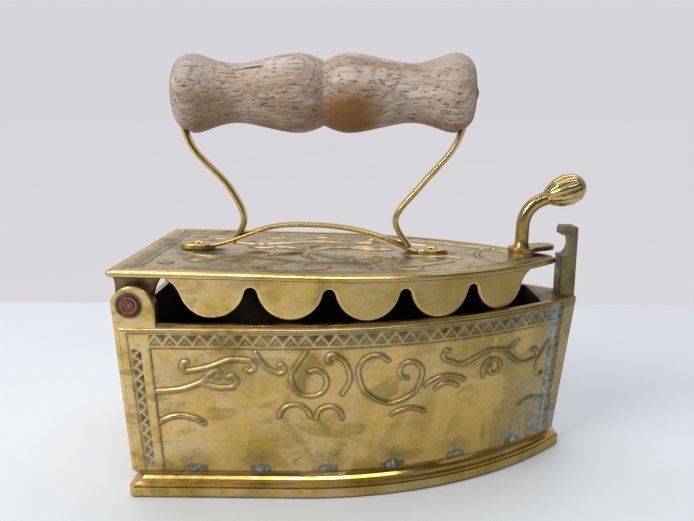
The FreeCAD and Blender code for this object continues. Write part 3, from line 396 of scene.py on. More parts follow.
def lid_height(x, y, inside):
    """Relief, dark marks and bloom over the lid's field; inside is the distance from the field's edge. The
    dark marks are painted shade beside the raised work, and grime in the scratches round the latch.
    """
    side = np.abs(y)
    height = np.full(x.shape, 0.15)
    # painted shade along the foot of the raised border, and beside each of the two raised rings
    shade_and_dirt = 0.75 * np.exp(-(inside / 0.7) ** 2)
    for place in (1.6, 5.0):
        line = np.abs(inside - place)
        height += 0.55 * np.exp(-(line / 0.55) ** 2)
        shade_and_dirt = np.maximum(shade_and_dirt, 0.95 * np.exp(-((line - 1.05) / 0.42) ** 2))
    run = (x + side * 0.6) / 2.8
    bead = np.hypot((run % 1 - 0.5) * 2.8, (inside - 3.3) * 1.1)
    height += 0.40 * np.exp(-(bead / 0.75) ** 2)
    closest = np.full(x.shape, 1e9)
    for points in LID_VINES:
        closest = np.minimum(closest, distance_to(curve_through(points), x, side))
    for cx, cy, length, turn in LID_LEAVES:
        c, s = math.cos(math.radians(turn)), math.sin(math.radians(turn))
        along, across = (x - cx) * c + (side - cy) * s, -(x - cx) * s + (side - cy) * c
        half = 2.8 * np.clip(1 - (along / (length / 2)) ** 2, 0, 1)
        leaf = np.clip(half - np.abs(across), 0, None) / 2.8
        height += 0.8 * np.sqrt(leaf) - 0.3 * (leaf > 0) * np.exp(-(across / 0.35) ** 2)
        # painted shade round each leaf's edge
        rim = np.exp(-((np.abs(across) - half) / 0.6) ** 2) * (np.abs(along) < length / 2 + 0.5)
        shade_and_dirt = np.maximum(shade_and_dirt, 0.9 * rim)
    free = smooth(6.2, 7.0, inside)
    height += free * (0.8 * np.exp(-(closest / 0.75) ** 2) - 0.15 * np.exp(-((closest - 1.6) / 0.5) ** 2))
    # painted shade in the hollow beside each vine
    shade_and_dirt = np.maximum(shade_and_dirt, free * 0.9 * np.exp(-((closest - 1.45) / 0.5) ** 2))
    for cx, cy in ROSETTES:
        away = np.hypot(x - cx, side - cy)
        angle = np.arctan2(side - cy, x - cx)
        petals = ROSETTE_R * (0.66 + 0.34 * np.abs(np.cos(angle * 3)))
        height += 0.8 * smooth(1.0, 0.55, away / petals) - 0.4 * np.exp(-((away - 1.6) / 0.4) ** 2)
        # painted shade round each rosette's petals
        shade_and_dirt = np.maximum(shade_and_dirt, 0.9 * np.exp(-((away - petals - 0.3) / 0.6) ** 2))
    arc = np.hypot(x - LATCH_X, y)
    for radius in (17.3, 19.6):
        line = np.exp(-((arc - radius) / 0.5) ** 2) * (x < LATCH_X)
        height -= 0.12 * line
        shade_and_dirt = np.maximum(shade_and_dirt, line)
    bloom = np.maximum(smooth(9.0, 5.5, arc), 0.30 * np.exp(-(inside / 2.0) ** 2))
    height += 0.05 * np.sin(x * 0.3 + 1.7 * np.sin(y * 0.22)) * np.sin(y * 0.27)
    return height, np.clip(shade_and_dirt, 0, 1), np.clip(bloom, 0, 1)


def tilted(points):
    """Drawing points on the level lid, turned to the lid's real place."""
    points = np.array(points, float)
    run, rise = points[:, 0] - PIN[0], points[:, 2] - PIN[1]
    points[:, 0] = PIN[0] + run * math.cos(LID_TILT) + rise * math.sin(LID_TILT)
    points[:, 2] = PIN[1] - run * math.sin(LID_TILT) + rise * math.cos(LID_TILT)
    return points


def half_width(plan, x):
    over = np.maximum(0, x - plan["shoulder"])
    return plan["centre"] + np.sqrt(np.maximum(plan["radius"] ** 2 - over ** 2, 0))


def relief_lid(material):
    plan = inset_plan(LID, BORDER_W + 0.05, 1.0)
    outer = with_arc(LID)
    rows, cols = int(92 / GRID), int((plan["tip"] - plan["rear"]) / GRID)
    x_line = np.linspace(plan["rear"], plan["tip"] - 0.3, cols)
    x = np.repeat(x_line[None, :], rows, 0)
    limit = half_width(plan, x)
    y = np.linspace(-1, 1, rows)[:, None] * limit
    from_edge = outer["radius"] - np.hypot(np.maximum(0, x - outer["shoulder"]), np.abs(y) - outer["centre"])
    inside = np.minimum(from_edge, x - outer["rear"]) - BORDER_W
    height, shade_and_dirt, bloom = lid_height(x, y, inside)
    height = 0.02 + (height - 0.02) * smooth(0, 0.7, inside)
    floor = LID_TOP_Z - BORDER_H
    flat = np.stack([x.ravel(), y.ravel(), np.full(x.size, floor)], 1)
    lift = np.zeros_like(flat)
    lift[:, 2] = height.ravel()
    sink = np.array([0, 0, -PLATE_BACK])
    points, faces = grid_plate(to_row(tilted(flat + lift)), to_row(tilted(flat + sink)), rows, cols)
    blank = np.zeros(shade_and_dirt.size)
    layers = {"shade_and_dirt": np.concatenate([shade_and_dirt.ravel(), blank]), "bloom": np.concatenate([bloom.ravel(), blank])}
    piece = mesh_piece("lid_relief", points, faces, "lid", material, layers)
    return piece


# ---- rolled edge of the skirt -------------------------------------------------------------------
def skirt_edge():
    """The scalloped lower edge as (s, z) points, from the rear to the nose, on the level lid."""
    bottom, top = LID_TOP_Z - LOBE_DROP, LID_TOP_Z - 2.4
    lobe_z = bottom + LOBE_R
    half = LOBE_PITCH / 2
    drop = math.sqrt((LOBE_R + GAP_R) ** 2 - half ** 2)
    touch = math.atan2(half, drop)
    x0, z0 = LOBE_R * math.sin(COVE_FROM), lobe_z - LOBE_R * math.cos(COVE_FROM)
    reach = LOBE_R + COVE_REACH
    run, rise = reach - x0, top - z0
    bow = COVE_SAG / math.hypot(run, rise)
    cove = []
    for t in np.linspace(1, 0, 9)[:-1]:
        lean = 4 * t * (1 - t) * bow
        cove.append((x0 + run * t - rise * lean, z0 + rise * t + run * lean))
    points = [(FIRST_LOBE - x, z) for x, z in cove]
    for i in range(LOBES):
        middle = FIRST_LOBE + i * LOBE_PITCH
        start = COVE_FROM if i == 0 else touch
        end = COVE_FROM if i == LOBES - 1 else touch
        for angle in np.linspace(-start, end, 22):
            points.append((middle + LOBE_R * math.sin(angle), lobe_z - LOBE_R * math.cos(angle)))
        if i < LOBES - 1:
            for angle in np.linspace(-touch, touch, 9)[1:-1]:
                points.append((middle + half + GAP_R * math.sin(angle),
                               lobe_z - drop + GAP_R * math.cos(angle)))
    last = FIRST_LOBE + (LOBES - 1) * LOBE_PITCH
    return points + [(last + x, z) for x, z in reversed(cove)]


def tube(points, radius, around=10):
    """Closed round tube along points in millimetres."""
    points = np.asarray(points, float)
    tangents = np.gradient(points, axis=0)
    tangents /= np.linalg.norm(tangents, axis=1)[:, None]
    side = np.cross(tangents[0], [0, 1, 0.3])
    verts, faces = [], []
    for i, (p, t) in enumerate(zip(points, tangents)):
        side = side - t * (side @ t)
        side /= np.linalg.norm(side)
        up = np.cross(t, side)
        for k in range(around):
            a = 2 * math.pi * k / around
            verts.append(p + radius * (math.cos(a) * side + math.sin(a) * up))
        if i:
            base = i * around
            for k in range(around):
                n = (k + 1) % around
                faces.append((base - around + k, base - around + n, base + n, base + k))
    end = len(verts) - around
    faces.append(tuple(range(around - 1, -1, -1)))
    faces.append(tuple(range(end, end + around)))
    return np.array(verts), faces


def skirt_bead(side, material):
    plan = inset_plan(LID, SKIRT_INSET, 2.0)
    place = []
    for s, z in skirt_edge():
        turn = max(0.0, s + plan["rear"] - plan["shoulder"]) / plan["radius"]
        radius = plan["radius"] - SKIRT_T / 2
        x = min(s + plan["rear"], plan["shoulder"]) + radius * math.sin(turn)
        y = plan["centre"] + radius * math.cos(turn)
        place.append((x, side * y, z))
    verts, faces = tube(tilted(place), SKIRT_T / 2 + 0.05)
    name = "skirt_bead_left" if side > 0 else "skirt_bead_right"
    piece = mesh_piece(name, to_row(verts), faces, "lid", material)
    return piece


# ---- handle frame -------------------------------------------------------------------------------
GRIP_Z = 154.2
REAR_EYE_X, FRONT_EYE_X = 16.7, 137.7
ARM_UPRIGHT, ARM_SHOULDER_Z, ARM_SLOPE_Z, ARM_BELLY_Z = 6.0, 132.0, 116.0, 102.0
REAR_SWING, FRONT_SWING = 26.0, 30.0
SHOULDER_SHARE, REAR_SLOPE_SHARE, FRONT_SLOPE_SHARE = 0.2, 0.75, 0.65
REAR_ARM_FOOT, FRONT_ARM_FOOT = (37.5, 91.5), (113.5, 90.0)
ARM_TOP_GAP = 1.2       # the bar begins below the middle of its eye


def arm_line(eye_x, swing, slope_share, foot):
    """Line of an arm: upright at the grip, a slope to its belly, then back out to its foot."""
    return [(eye_x, GRIP_Z - ARM_TOP_GAP), (eye_x, GRIP_Z - ARM_UPRIGHT),
            (eye_x + SHOULDER_SHARE * swing, ARM_SHOULDER_Z),
            (eye_x + slope_share * swing, ARM_SLOPE_Z), (eye_x + swing, ARM_BELLY_Z), foot]


ARM_T, ARM_TOP_W, ARM_FOOT_W = 2.6, 10.0, 5.6


def oval(angle, square=0.72):
    """Unit oval with flattened faces, so that its edges catch the light."""
    c, s = math.cos(angle), math.sin(angle)
    return math.copysign(abs(c) ** square, c), math.copysign(abs(s) ** square, s)


def arm(name, points, material, around=28):
    """Bent bar that widens to a round eye at the grip."""
    line = curve_through(points, 12)
    ahead = np.gradient(line, axis=0)
    ahead /= np.linalg.norm(ahead, axis=1)[:, None]
    verts, faces = [], []
    for i, ((x, z), (dx, dz)) in enumerate(zip(line, ahead)):
        settle = smooth(0, 0.45, i / (len(line) - 1))
        width = ARM_TOP_W + (ARM_FOOT_W - ARM_TOP_W) * settle
        for k in range(around):
            thick, wide = oval(2 * math.pi * k / around)
            verts.append((x - dz * thick * ARM_T / 2, wide * width / 2, z + dx * thick * ARM_T / 2))
        if i:
            base = i * around
            for k in range(around):
                n = (k + 1) % around
                faces.append((base - around + k, base + k, base + n, base - around + n))
    faces.append(tuple(range(around)))
    faces.append(tuple(range(len(verts) - 1, len(verts) - around - 1, -1)))
    base, (eye_x, eye_z) = len(verts), (points[0][0], GRIP_Z)
    for side in (-ARM_T / 2 - 0.1, ARM_T / 2 + 0.1):
        for k in range(around):
            a = 2 * math.pi * k / around
            verts.append((eye_x + side, ARM_TOP_W / 2 * math.sin(a), eye_z + ARM_TOP_W / 2 * math.cos(a)))
    for k in range(around):
        n = (k + 1) % around
        faces.append((base + k, base + n, base + around + n, base + around + k))
    faces.append(tuple(range(base + around - 1, base - 1, -1)))
    faces.append(tuple(range(base + around, base + 2 * around)))
    piece = mesh_piece(name + "_bar", to_row(verts), faces, "lid", material)
    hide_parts(name)


# ---- ribbed bud knob ----------------------------------------------------------------------------
def bud(material):
    """Almond-shaped bud with lengthwise petals, on the axis of the solid it stands for."""
    stem_bend = math.radians(68.0) + LID_TILT
    along = np.array([math.sin(stem_bend), 0, math.cos(stem_bend)])
    low, high = (np.array(corner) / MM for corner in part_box("bud_knob"))
    centre = (low + high) / 2
    length = 17.6
    start = centre - along * length * 0.52
    side = np.array([-along[2], 0, along[0]])
    across = np.cross(along, side)
    rings, around, petals = 44, 120, 12
    shares = [0.0, 0.10, 0.30, 0.55, 0.80, 0.94, 1.0]
    radii = [2.7, 4.2, 6.0, 6.75, 5.8, 3.5, 0.6]
    verts, faces, shade_and_dirt = [], [], []
    for i in range(rings):
        share = i / (rings - 1)
        radius = np.interp(share, shares, radii)
        swell = math.sin(math.pi * min(1, share * 1.05)) ** 0.6
        for k in range(around):
            angle = 2 * math.pi * k / around + 0.5 * share
            groove = abs(math.sin(angle * petals / 2)) ** 0.55
            r = radius * (1 - 0.10 * swell * (1 - groove))
            outward = math.cos(angle) * side + math.sin(angle) * across
            verts.append(start + along * share * length + r * outward)
            # the grooves between the petals are painted darker, as their shade
            shade_and_dirt.append(max(0.0, 1 - groove * 1.6) * swell)
    for i in range(rings - 1):
        for k in range(around):
            n = (k + 1) % around
            faces.append((i * around + k, i * around + n, (i + 1) * around + n, (i + 1) * around + k))
    faces.append(tuple(range(around - 1, -1, -1)))
    faces.append(tuple(range((rings - 1) * around, rings * around)))
    piece = mesh_piece("ribbed_bud", np.array(verts) * MM, faces, "latch", material, {"shade_and_dirt": shade_and_dirt})
    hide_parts("bud_knob")
    return piece


# ---- materials ----------------------------------------------------------------------------------
class Graph:
    """Short-hand for building a node material."""

    def __init__(self, name):
        self.material = bpy.data.materials.new(name)
        self.material.use_nodes = True
        self.tree = self.material.node_tree
        self.shader = self.tree.nodes["Principled BSDF"]
        coords = self.tree.nodes.new("ShaderNodeTexCoord")
        self.place, self.normal = coords.outputs["Object"], coords.outputs["Normal"]

    def node(self, kind, inputs=None, **settings):
        made = self.tree.nodes.new("ShaderNode" + kind)
        for key, value in settings.items():
            setattr(made, key, value)
        for key, value in (inputs or {}).items():
            self.feed(made.inputs[key], value)
        return made

    def feed(self, socket, value):
        if isinstance(value, bpy.types.NodeSocket):
            self.tree.links.new(value, socket)
        else:
            socket.default_value = value

    def scaled(self, scale):
        return self.node("Mapping", {"Vector": self.place, "Scale": scale}).outputs[0]

    def noise(self, scale, detail=4, rough=0.55, vector=None, warp=0.0):
        made = self.node("TexNoise", {"Vector": vector or self.place, "Scale": scale, "Detail": detail,
                                      "Roughness": rough, "Distortion": warp})
        return made.outputs["Fac"]

    def math(self, kind, a, b=0.0, clamp=False):
        return self.node("Math", {0: a, 1: b}, operation=kind, use_clamp=clamp).outputs[0]

    def step(self, value, low, high, out_low=0.0, out_high=1.0):
        made = self.node("MapRange", {"Value": value, "From Min": low, "From Max": high, "To Min": out_low,
                                      "To Max": out_high}, interpolation_type="SMOOTHSTEP")
        return made.outputs[0]

    def ramp(self, value, stops):
        made = self.node("ValToRGB", {"Fac": value})
        ramp = made.color_ramp
        while len(ramp.elements) < len(stops):
            ramp.elements.new(0.5)
        for element, (place, colour) in zip(ramp.elements, stops):
            element.position = place
            element.color = (*colour, 1)
        return made.outputs["Color"]

    def mix(self, factor, a, b, kind="MIX"):
        made = self.node("Mix", data_type="RGBA", blend_type=kind)
        self.feed(made.inputs[0], factor)
        for socket, value in ((made.inputs[6], a), (made.inputs[7], b)):
            self.feed(socket, (*value, 1) if isinstance(value, tuple) and len(value) == 3 else value)
        return made.outputs[2]

    def part(self, axis, vector=None):
        return self.node("SeparateXYZ", {0: vector or self.place}).outputs[axis]

    def bump(self, height, strength, distance, normal=None):
        inputs = {"Height": height, "Strength": strength, "Distance": distance}
        if normal:
            inputs["Normal"] = normal
        return self.node("Bump", inputs).outputs[0]

    def finish(self, colour, roughness, metallic=None, normal=None):
        self.feed(self.shader.inputs["Base Color"], colour)
        self.feed(self.shader.inputs["Roughness"], roughness)
        if metallic is not None:
            self.feed(self.shader.inputs["Metallic"], metallic)
        if normal is not None:
            self.feed(self.shader.inputs["Normal"], normal)
        return self.material


TAN, GOLD, OLIVE = (0.72, 0.52, 0.25), (0.68, 0.45, 0.13), (0.34, 0.24, 0.07)
SHADE_AND_SOOT_BROWN, GREY_GREEN, PALE_BLUE = (0.035, 0.026, 0.014), (0.13, 0.14, 0.10), (0.46, 0.56, 0.58)


def brass(name, tones=(TAN, GOLD, OLIVE), rough=0.34, shade_and_dirt=0.5, fade=None, green=0.0, grit=1.0, ring=False):
    """Old brass: cloudy tone, fine scratches, dark patina and blue-green crust where grime gathers, and
    painted shade in its creases and relief hollows, laid in the patina's dark tones.
    """
    g = Graph(name)
    cloud = g.math("ADD", g.math("MULTIPLY", g.noise(22, 5, 0.6, warp=0.8), 0.65),
                   g.math("MULTIPLY", g.noise(75, 5, 0.65, warp=0.5), 0.35))
    colour = g.ramp(cloud, [(0.39, tones[2]), (0.455, tones[1]), (0.52, tones[0]), (0.575, tones[1]),
                            (0.64, tones[2])])
    if fade:    # the brass darkens to olive toward the nose and the foot
        ahead = g.math("ADD", g.part(0), g.math("MULTIPLY", g.noise(28, 4), 0.06))
        colour = g.mix(g.step(ahead, fade[0] + 0.03, fade[1] + 0.03, 0.0, 0.85), colour, tones[2])
        low = g.math("MULTIPLY", g.step(g.part(2), 0.045, 0.014, 0, 0.75), g.step(g.noise(36, 4), 0.42, 0.60))
        colour = g.mix(low, colour, (0.40, 0.25, 0.04))
    smears = g.noise(1, 5, 0.65, g.scaled((55, 55, 150)), 0.6)
    colour = g.mix(g.step(smears, 0.50, 0.62, 0, 0.6 * grit), colour, tones[2])
    patches = g.noise(34, 3, 0.5, warp=1.2)
    colour = g.mix(g.step(patches, 0.54, 0.60, 0, 0.5 * grit), colour, tones[1])
    colour = g.mix(g.step(g.noise(700, 4, 0.75), 0.56, 0.70, 0, 0.40 * grit), colour, SHADE_AND_SOOT_BROWN)
    # ambient occlusion darkens every crease: painted shade, laid in the patina's dark tones
    crease = g.node("AmbientOcclusion", {"Distance": 0.003}, samples=6, only_local=False).outputs["AO"]
    amount = g.step(crease, 0.80, 0.35, 0, shade_and_dirt)
    layer = g.node("Attribute", attribute_name="shade_and_dirt", attribute_type="GEOMETRY").outputs["Fac"]
    amount = g.math("MAXIMUM", amount, layer)
    if ring:    # dark green lies in the dish round each hinge pin
        low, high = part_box("hinge_pins")
        middle = ((low.x + high.x) / 2, 0, (low.z + high.z) / 2)
        away = g.node("VectorMath", {0: g.scaled((1, 0, 1)), 1: middle},
                      operation="DISTANCE").outputs["Value"]
        amount = g.math("MAXIMUM", amount, g.step(away, 0.0058, 0.0044, 0, 0.9))
    broken = g.step(g.noise(360, 5, 0.7), 0.28, 0.56)
    shade_and_patina = g.math("MULTIPLY", amount, g.math("ADD", g.math("MULTIPLY", broken, 0.6), 0.4), True)
    if green:
        specks = g.math("MULTIPLY", g.step(g.noise(130, 5, 0.65), 0.38, 0.6), green)
        shade_and_patina = g.math("MAXIMUM", shade_and_patina, specks)
    # dark tones shared by the patina, the grime and the painted shade
    shade_and_patina_tone = g.ramp(g.noise(110, 5, 0.7), [(0.40, SHADE_AND_SOOT_BROWN), (0.62, GREY_GREEN)])
    colour = g.mix(shade_and_patina, colour, shade_and_patina_tone)
    salts = g.node("Attribute", attribute_name="bloom", attribute_type="GEOMETRY").outputs["Fac"]
    salts = g.math("MULTIPLY", salts, g.step(g.noise(300, 6, 0.75), 0.40, 0.58), True)
    salt_tone = g.ramp(g.noise(500, 4, 0.7), [(0.36, (0.10, 0.16, 0.17)), (0.52, (0.30, 0.40, 0.42)),
                                              (0.66, PALE_BLUE)])
    colour = g.mix(salts, colour, salt_tone)
    covered = g.math("MAXIMUM", shade_and_patina, salts)
    scratch = g.noise(1, 3, 0.6, g.scaled((260, 260, 900)))
    finish = g.math("ADD", g.step(cloud, 0.40, 0.62, rough + 0.08, rough - 0.04),
                    g.step(scratch, 0.4, 0.7, 0, 0.06))
    finish = g.math("ADD", finish, g.math("MULTIPLY", covered, 0.45), True)
    metallic = g.math("SUBTRACT", 1.0, g.math("MULTIPLY", covered, 0.80), True)
    dents = g.bump(g.noise(70, 2), 0.20 * grit, 0.0006)
    grain = g.bump(g.noise(1600, 3, 0.7), 0.10 * grit * grit, 0.00008, dents)
    rough_crust = g.bump(g.math("MULTIPLY", covered, g.noise(1500, 3)), 0.5 * grit, 0.0003, grain)
    return g.finish(colour, finish, metallic, rough_crust)


def soot():
    g = Graph("Soot")
    cloud = g.noise(60, 5)
    colour = g.ramp(cloud, [(0.35, (0.010, 0.008, 0.007)), (0.6, (0.035, 0.022, 0.016)),
                            (0.78, (0.10, 0.055, 0.035))])
    return g.finish(colour, g.step(cloud, 0.3, 0.7, 0.85, 0.6), 0.0, g.bump(g.noise(900, 4), 0.5, 0.0004))


def copper():
    g = Graph("Copper")
    low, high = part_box("hinge_pins")
    away = g.node("VectorMath", {0: g.scaled((1, 0, 1)), 1: ((low.x + high.x) / 2, 0, (low.z + high.z) / 2)},
                  operation="DISTANCE").outputs["Value"]
    # rings round the pin's axis: the copper's tones with painted light and shade of the turned rings and the
    # centre dimple
    rings = g.ramp(g.math("MULTIPLY", away, 250.0), [
        (0.00, (0.02, 0.03, 0.02)), (0.10, (0.45, 0.38, 0.26)), (0.22, (0.05, 0.03, 0.02)),
        (0.36, (0.33, 0.10, 0.07)),
        (0.52, (0.12, 0.03, 0.02)), (0.68, (0.38, 0.15, 0.11)), (0.82, (0.20, 0.06, 0.04)),
        (0.92, (0.03, 0.04, 0.03))])
    colour = g.mix(g.step(g.noise(900, 4), 0.5, 0.7, 0, 0.5), rings, (0.10, 0.05, 0.035))
    finish = g.step(g.noise(700, 4), 0.3, 0.7, 0.42, 0.22)
    return g.finish(colour, finish, 0.85, g.bump(g.noise(2500, 3), 0.2, 0.0001))


def iron():
    g = Graph("Iron")
    cloud = g.noise(300, 5)
    colour = g.ramp(cloud, [(0.35, (0.05, 0.04, 0.035)), (0.6, (0.16, 0.13, 0.11)),
                            (0.75, (0.24, 0.12, 0.07))])
    return g.finish(colour, g.step(cloud, 0.3, 0.7, 0.7, 0.45), 0.7, g.bump(g.noise(1500, 4), 0.5, 0.0002))


def wood():
    """Bare beech: greyed by handling, with short dark rays, year rings, a shake and an orange stain."""
    g = Graph("WeatheredBeech")
    low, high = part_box("grip")
    mid = (low + high) / 2
    broad = g.noise(1, 5, 0.6, g.scaled((22, 80, 80)), 0.6)
    colour = g.ramp(broad, [(0.32, (0.36, 0.25, 0.175)), (0.47, (0.50, 0.385, 0.295)),
                            (0.58, (0.59, 0.475, 0.39)),
                            (0.72, (0.70, 0.60, 0.52))])
    # year rings, cut aslant by the lathe so that they show as arches near the ends
    turned = g.node("Mapping", {"Vector": g.place, "Location": (0.0, -0.030, -mid.z + 0.022),
                                "Rotation": (0, 0.16, 0.12)})
    years = g.node("TexWave", {"Vector": turned.outputs[0], "Scale": 150.0, "Distortion": 1.6, "Detail": 3.0,
                               "Detail Scale": 0.6}, wave_type="RINGS", rings_direction="X").outputs["Fac"]
    colour = g.mix(g.step(years, 0.62, 1.0, 0, 0.34), colour, (0.25, 0.155, 0.10))
    grain = g.noise(1, 4, 0.6, g.scaled((45, 900, 900)))
    colour = g.mix(g.step(grain, 0.42, 0.66, 0, 0.40), colour, (0.28, 0.18, 0.125))
    rays = g.noise(1, 2, 0.5, g.scaled((250, 1500, 1500)))
    dashes = g.step(rays, 0.585, 0.66)
    colour = g.mix(g.math("MULTIPLY", dashes, 0.85), colour, (0.085, 0.05, 0.032))
    long_rays = g.step(g.noise(1, 2, 0.5, g.scaled((95, 1000, 1000))), 0.62, 0.69)
    colour = g.mix(g.math("MULTIPLY", long_rays, 0.6), colour, (0.14, 0.085, 0.055))
    chalk = g.step(g.noise(1, 3, 0.6, g.scaled((160, 700, 700))), 0.58, 0.70, 0, 0.35)
    colour = g.mix(chalk, colour, (0.60, 0.55, 0.51))
    # orange stain ahead of the groove, brown toward the lower rear
    for along, tone, reach, depth in ((0.010, (0.24, 0.10, 0.02), 0.018, 0.92),
                                      (-0.044, (0.24, 0.13, 0.06), 0.018, 0.6)):
        spot = (mid.x + along, low.y + 0.004, low.z + 0.003)
        away = g.node("VectorMath", {0: g.place, 1: spot}, operation="DISTANCE").outputs["Value"]
        away = g.math("ADD", away, g.math("MULTIPLY", g.math("SUBTRACT", g.noise(150, 4), 0.5), 0.014))
        colour = g.mix(g.step(away, reach, reach * 0.4, 0, depth), colour, tone)
    # darker brown toward the bottom: painted shade under the grip
    under = g.math("MULTIPLY", g.step(g.part(2), mid.z - 0.004, low.z, 0, 0.7),
                   g.step(g.noise(70, 3), 0.36, 0.60))
    colour = g.mix(under, colour, (0.25, 0.145, 0.075))
    grey = g.math("MULTIPLY", g.step(g.part(2), mid.z, high.z, 0, 0.5), g.step(g.noise(60, 4), 0.36, 0.62))
    colour = g.mix(grey, colour, (0.40, 0.37, 0.35))
    # a short shake on the rear half, near the top
    wander = g.math("MULTIPLY", g.math("SUBTRACT", g.noise(1, 2, 0.5, g.scaled((150, 0, 0))), 0.5), 0.0022)
    rising = g.math("MULTIPLY", g.math("SUBTRACT", g.part(0), low.x + 0.032), -0.10)
    height = g.math("ADD", g.math("ADD", g.part(2), wander), rising)
    level = g.math("ABSOLUTE", g.math("SUBTRACT", height, mid.z + 0.0096))
    span = g.math("MULTIPLY", g.step(g.part(0), low.x + 0.024, low.x + 0.033),
                  g.step(g.part(0), low.x + 0.0385, low.x + 0.037))
    crack = g.math("MULTIPLY", g.step(level, 0.00055, 0.00012), span)
    colour = g.mix(crack, colour, (0.02, 0.014, 0.011))
    # end grain, darker and handled
    ends = g.step(g.math("ABSOLUTE", g.part(0, g.normal)), 0.72, 0.95)
    colour = g.mix(g.math("MULTIPLY", ends, 0.55), colour, (0.16, 0.10, 0.065))
    rough = g.step(grain, 0.3, 0.7, 0.62, 0.80)
    relief = g.bump(g.math("ADD", g.math("MULTIPLY", dashes, -0.9), grain), 0.45, 0.0004)
    relief = g.bump(crack, -0.8, 0.0008, relief)
    g.shader.inputs["Specular IOR Level"].default_value = 0.3
    return g.finish(colour, rough, 0.0, relief)


# ---- dress the solids ---------------------------------------------------------------------------
def paint(material, *names):
    for name in names:
        mesh = NODES[name].data
        mesh.materials.clear()
        mesh.materials.append(material)


def blacken(name, inward, material):
    """Gives the faces that look into the fire box a second, sooty material."""
    mesh = NODES[name].data
    mesh.materials.append(material)
    for face in mesh.polygons:
        face.material_index = 1 if inward(face.center, face.normal) else 0


def looks_in(centre, normal):
    toward_middle = normal.y * (1 if centre.y > 0 else -1) < -0.2
    rear_inside = normal.x > 0.6 and centre.x < CAD_BOX[0].x + 0.02
    return (toward_middle or rear_inside) and centre.z < (RIM_Z - 0.2) * MM


def looks_down(centre, normal):
    return normal.z < -0.5 or (normal.z < 0.2 and normal.y * (1 if centre.y > 0 else -1) < -0.3)


# ---- stage --------------------------------------------------------------------------------------
def plain(name, colour, rough=0.55, glow=0.0):
    g = Graph(name)
    tone = g.ramp(g.noise(3, 2), [(0.3, tuple(c * 0.99 for c in colour)), (0.7, colour)])
    if glow:
        g.feed(g.shader.inputs["Emission Color"], tone)
        g.shader.inputs["Emission Strength"].default_value = glow
        g.shader.inputs["Specular IOR Level"].default_value = 0.0
        tone = (0.02, 0.02, 0.02, 1)
    return g.finish(tone, rough, 0.0)


WALL_TONE = (0.680, 0.665, 0.695)


def stage():
    """A pale table, and past its far edge a paler tone that runs on to the horizon."""
    edge_y, wide, depth = 0.234, 40.0, 60.0
    for name, y0, y1, paint_job in (("table", -depth, edge_y, plain("TablePaint", (0.72, 0.76, 0.80))),
                                    ("far_floor", edge_y, depth, plain("FarPaint", WALL_TONE, 0.9, 1.0))):
        mesh = bpy.data.meshes.new(name)
        mesh.from_pydata([(-wide, y0, 0), (wide, y0, 0), (wide, y1, 0), (-wide, y1, 0)], [], [(0, 1, 2, 3)])
        mesh.materials.append(paint_job)
        plane = bpy.data.objects.new(name, mesh)
        bpy.context.scene.collection.objects.link(plane)


def area_light(name, place, target, size, power, colour=(1, 1, 1)):
    lamp = bpy.data.lights.new(name, "AREA")
    lamp.shape, lamp.size, lamp.size_y = "RECTANGLE", size[0], size[1]
    lamp.energy, lamp.color = power, colour
    holder = bpy.data.objects.new(name, lamp)
    holder.location = place
    holder.rotation_euler = (Vector(target) - Vector(place)).to_track_quat("-Z", "Y").to_euler()
    bpy.context.scene.collection.objects.link(holder)


def lights():
    area_light("window", (-0.75, -0.55, 0.85), (0, 0, 0.05), (0.6, 0.6), 8.0, (1.0, 0.99, 0.96))
    area_light("high_front", (0.15, -0.9, 1.1), (0, 0, 0.05), (1.0, 0.22), 4.6, (0.97, 0.98, 1.0))
    area_light("overhead", (0.0, 0.35, 1.2), (0, 0, 0), (1.3, 0.5), 4.5)
    world = bpy.data.worlds.new("Studio")
    world.use_nodes = True
    tree = world.node_tree
    coords = tree.nodes.new("ShaderNodeTexCoord")
    toward = tree.nodes.new("ShaderNodeVectorMath")
    toward.operation = "DOT_PRODUCT"
    toward.inputs[1].default_value = (-0.34, 0.94, 0.0)
    blend = tree.nodes.new("ShaderNodeMapRange")
    mix = tree.nodes.new("ShaderNodeMix")
    mix.data_type = "RGBA"
    tree.links.new(coords.outputs["Generated"], toward.inputs[0])
    tree.links.new(toward.outputs["Value"], blend.inputs["Value"])
    blend.inputs["From Min"].default_value = -0.45
    blend.inputs["From Max"].default_value = 0.25
    tree.links.new(blend.outputs[0], mix.inputs[0])
    mix.inputs[6].default_value = (0.12, 0.12, 0.125, 1)
    mix.inputs[7].default_value = (*WALL_TONE, 1)
    tree.links.new(mix.outputs[2], tree.nodes["Background"].inputs["Color"])
    bpy.context.scene.world = world
    bpy.context.scene.view_settings.view_transform = "Standard"


def camera():
    data = bpy.data.cameras.new("camera")
    data.sensor_width, data.lens = 36.0, 35.57
    data.clip_start = 0.01
    holder = bpy.data.objects.new("camera", data)
    holder.location = (0.0, -0.2922, 0.1437)
    holder.rotation_euler = (math.radians(90 - 11.64), 0, math.radians(1.12))
    bpy.context.scene.collection.objects.link(holder)
    bpy.context.scene.camera = holder


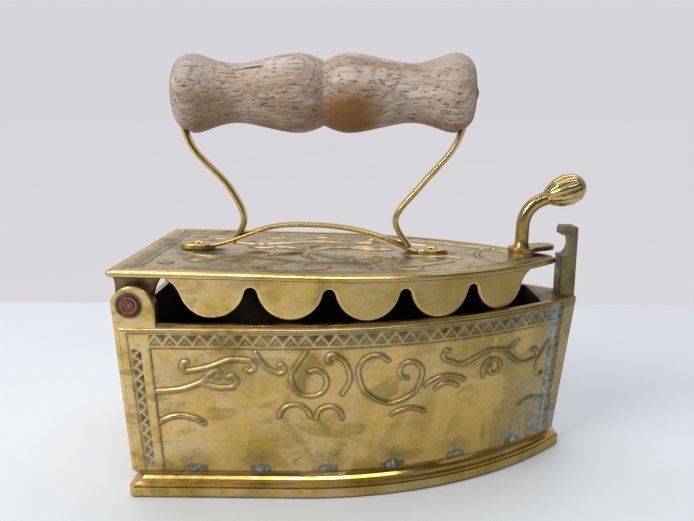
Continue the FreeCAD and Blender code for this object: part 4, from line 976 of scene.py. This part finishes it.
def dress():
    walls = brass("BrassWalls", rough=0.25, shade_and_dirt=0.8, fade=(-0.06, 0.09), ring=True)
    relief = brass("BrassRelief", rough=0.25, shade_and_dirt=0.8, fade=(-0.06, 0.09))
    lid = brass("BrassLid", rough=0.24, shade_and_dirt=0.3, fade=(-0.07, 0.06), grit=0.8)
    foot = brass("BrassFoot", rough=0.15, shade_and_dirt=0.9, fade=(-0.10, 0.12), grit=0.5)
    lid_top = brass("BrassLidTop", ((0.58, 0.46, 0.29), (0.54, 0.40, 0.18), (0.27, 0.22, 0.13)), 0.26, 0.9)
    edge = brass("BrassEdge", ((0.76, 0.58, 0.27), (0.76, 0.54, 0.18), (0.45, 0.32, 0.10)), 0.20, 0.0,
                 (-0.07, 0.07), grit=0.3)
    bright = brass("BrassWorn", ((0.54, 0.39, 0.17), (0.62, 0.44, 0.12), (0.24, 0.16, 0.06)), 0.16, 0.9,
                   grit=0.3)
    bud_metal = brass("BrassBud", ((0.50, 0.38, 0.16), (0.58, 0.44, 0.17), (0.22, 0.16, 0.06)), 0.17, 0.7,
                      grit=0.4)
    stem = brass("BrassStem", ((0.38, 0.27, 0.12), (0.44, 0.31, 0.10), (0.18, 0.12, 0.05)), 0.22, 1.0,
                 grit=0.4)
    dull = brass("BrassDull", ((0.26, 0.20, 0.10), (0.30, 0.22, 0.08), (0.13, 0.12, 0.07)), 0.34, 0.9,
                 green=0.35)
    crusted = brass("BrassCrusted", ((0.40, 0.46, 0.46), (0.50, 0.56, 0.56), (0.30, 0.33, 0.31)), 0.6, 0.2)
    sooty = soot()
    paint(walls, "body_walls")
    paint(foot, "sole_plate")
    paint(lid, "lid_plate")
    blacken("body_walls", looks_in, sooty)
    blacken("lid_plate", looks_down, sooty)
    paint(crusted, "sole_rivets")
    paint(dull, "latch_post", "hinge_lug_right", "hinge_lug_left", "hinge_washers")
    paint(sooty, "fire_grate", "grate_legs", "latch_under_washer")
    paint(copper(), "hinge_pins")
    paint(bright, "handle_strap", "rear_arm", "front_arm", "rear_foot_spacer", "front_foot_spacer",
          "rear_foot_rivet",
          "front_foot_rivet", "rear_grip_washer", "front_grip_washer", "latch_washer")
    paint(stem, "latch_stem", "latch_tongue")
    paint(wood(), "grip")
    paint(iron(), "grip_rod")
    for side in (1, -1):
        relief_wall(side, relief)
        skirt_bead(side, edge)
    relief_lid(lid_top)
    arm("rear_arm", arm_line(REAR_EYE_X, REAR_SWING, REAR_SLOPE_SHARE, REAR_ARM_FOOT), bright)
    arm("front_arm", arm_line(FRONT_EYE_X, -FRONT_SWING, FRONT_SLOPE_SHARE, FRONT_ARM_FOOT), bright)
    bud(bud_metal)


dress()
stage()
lights()
camera()
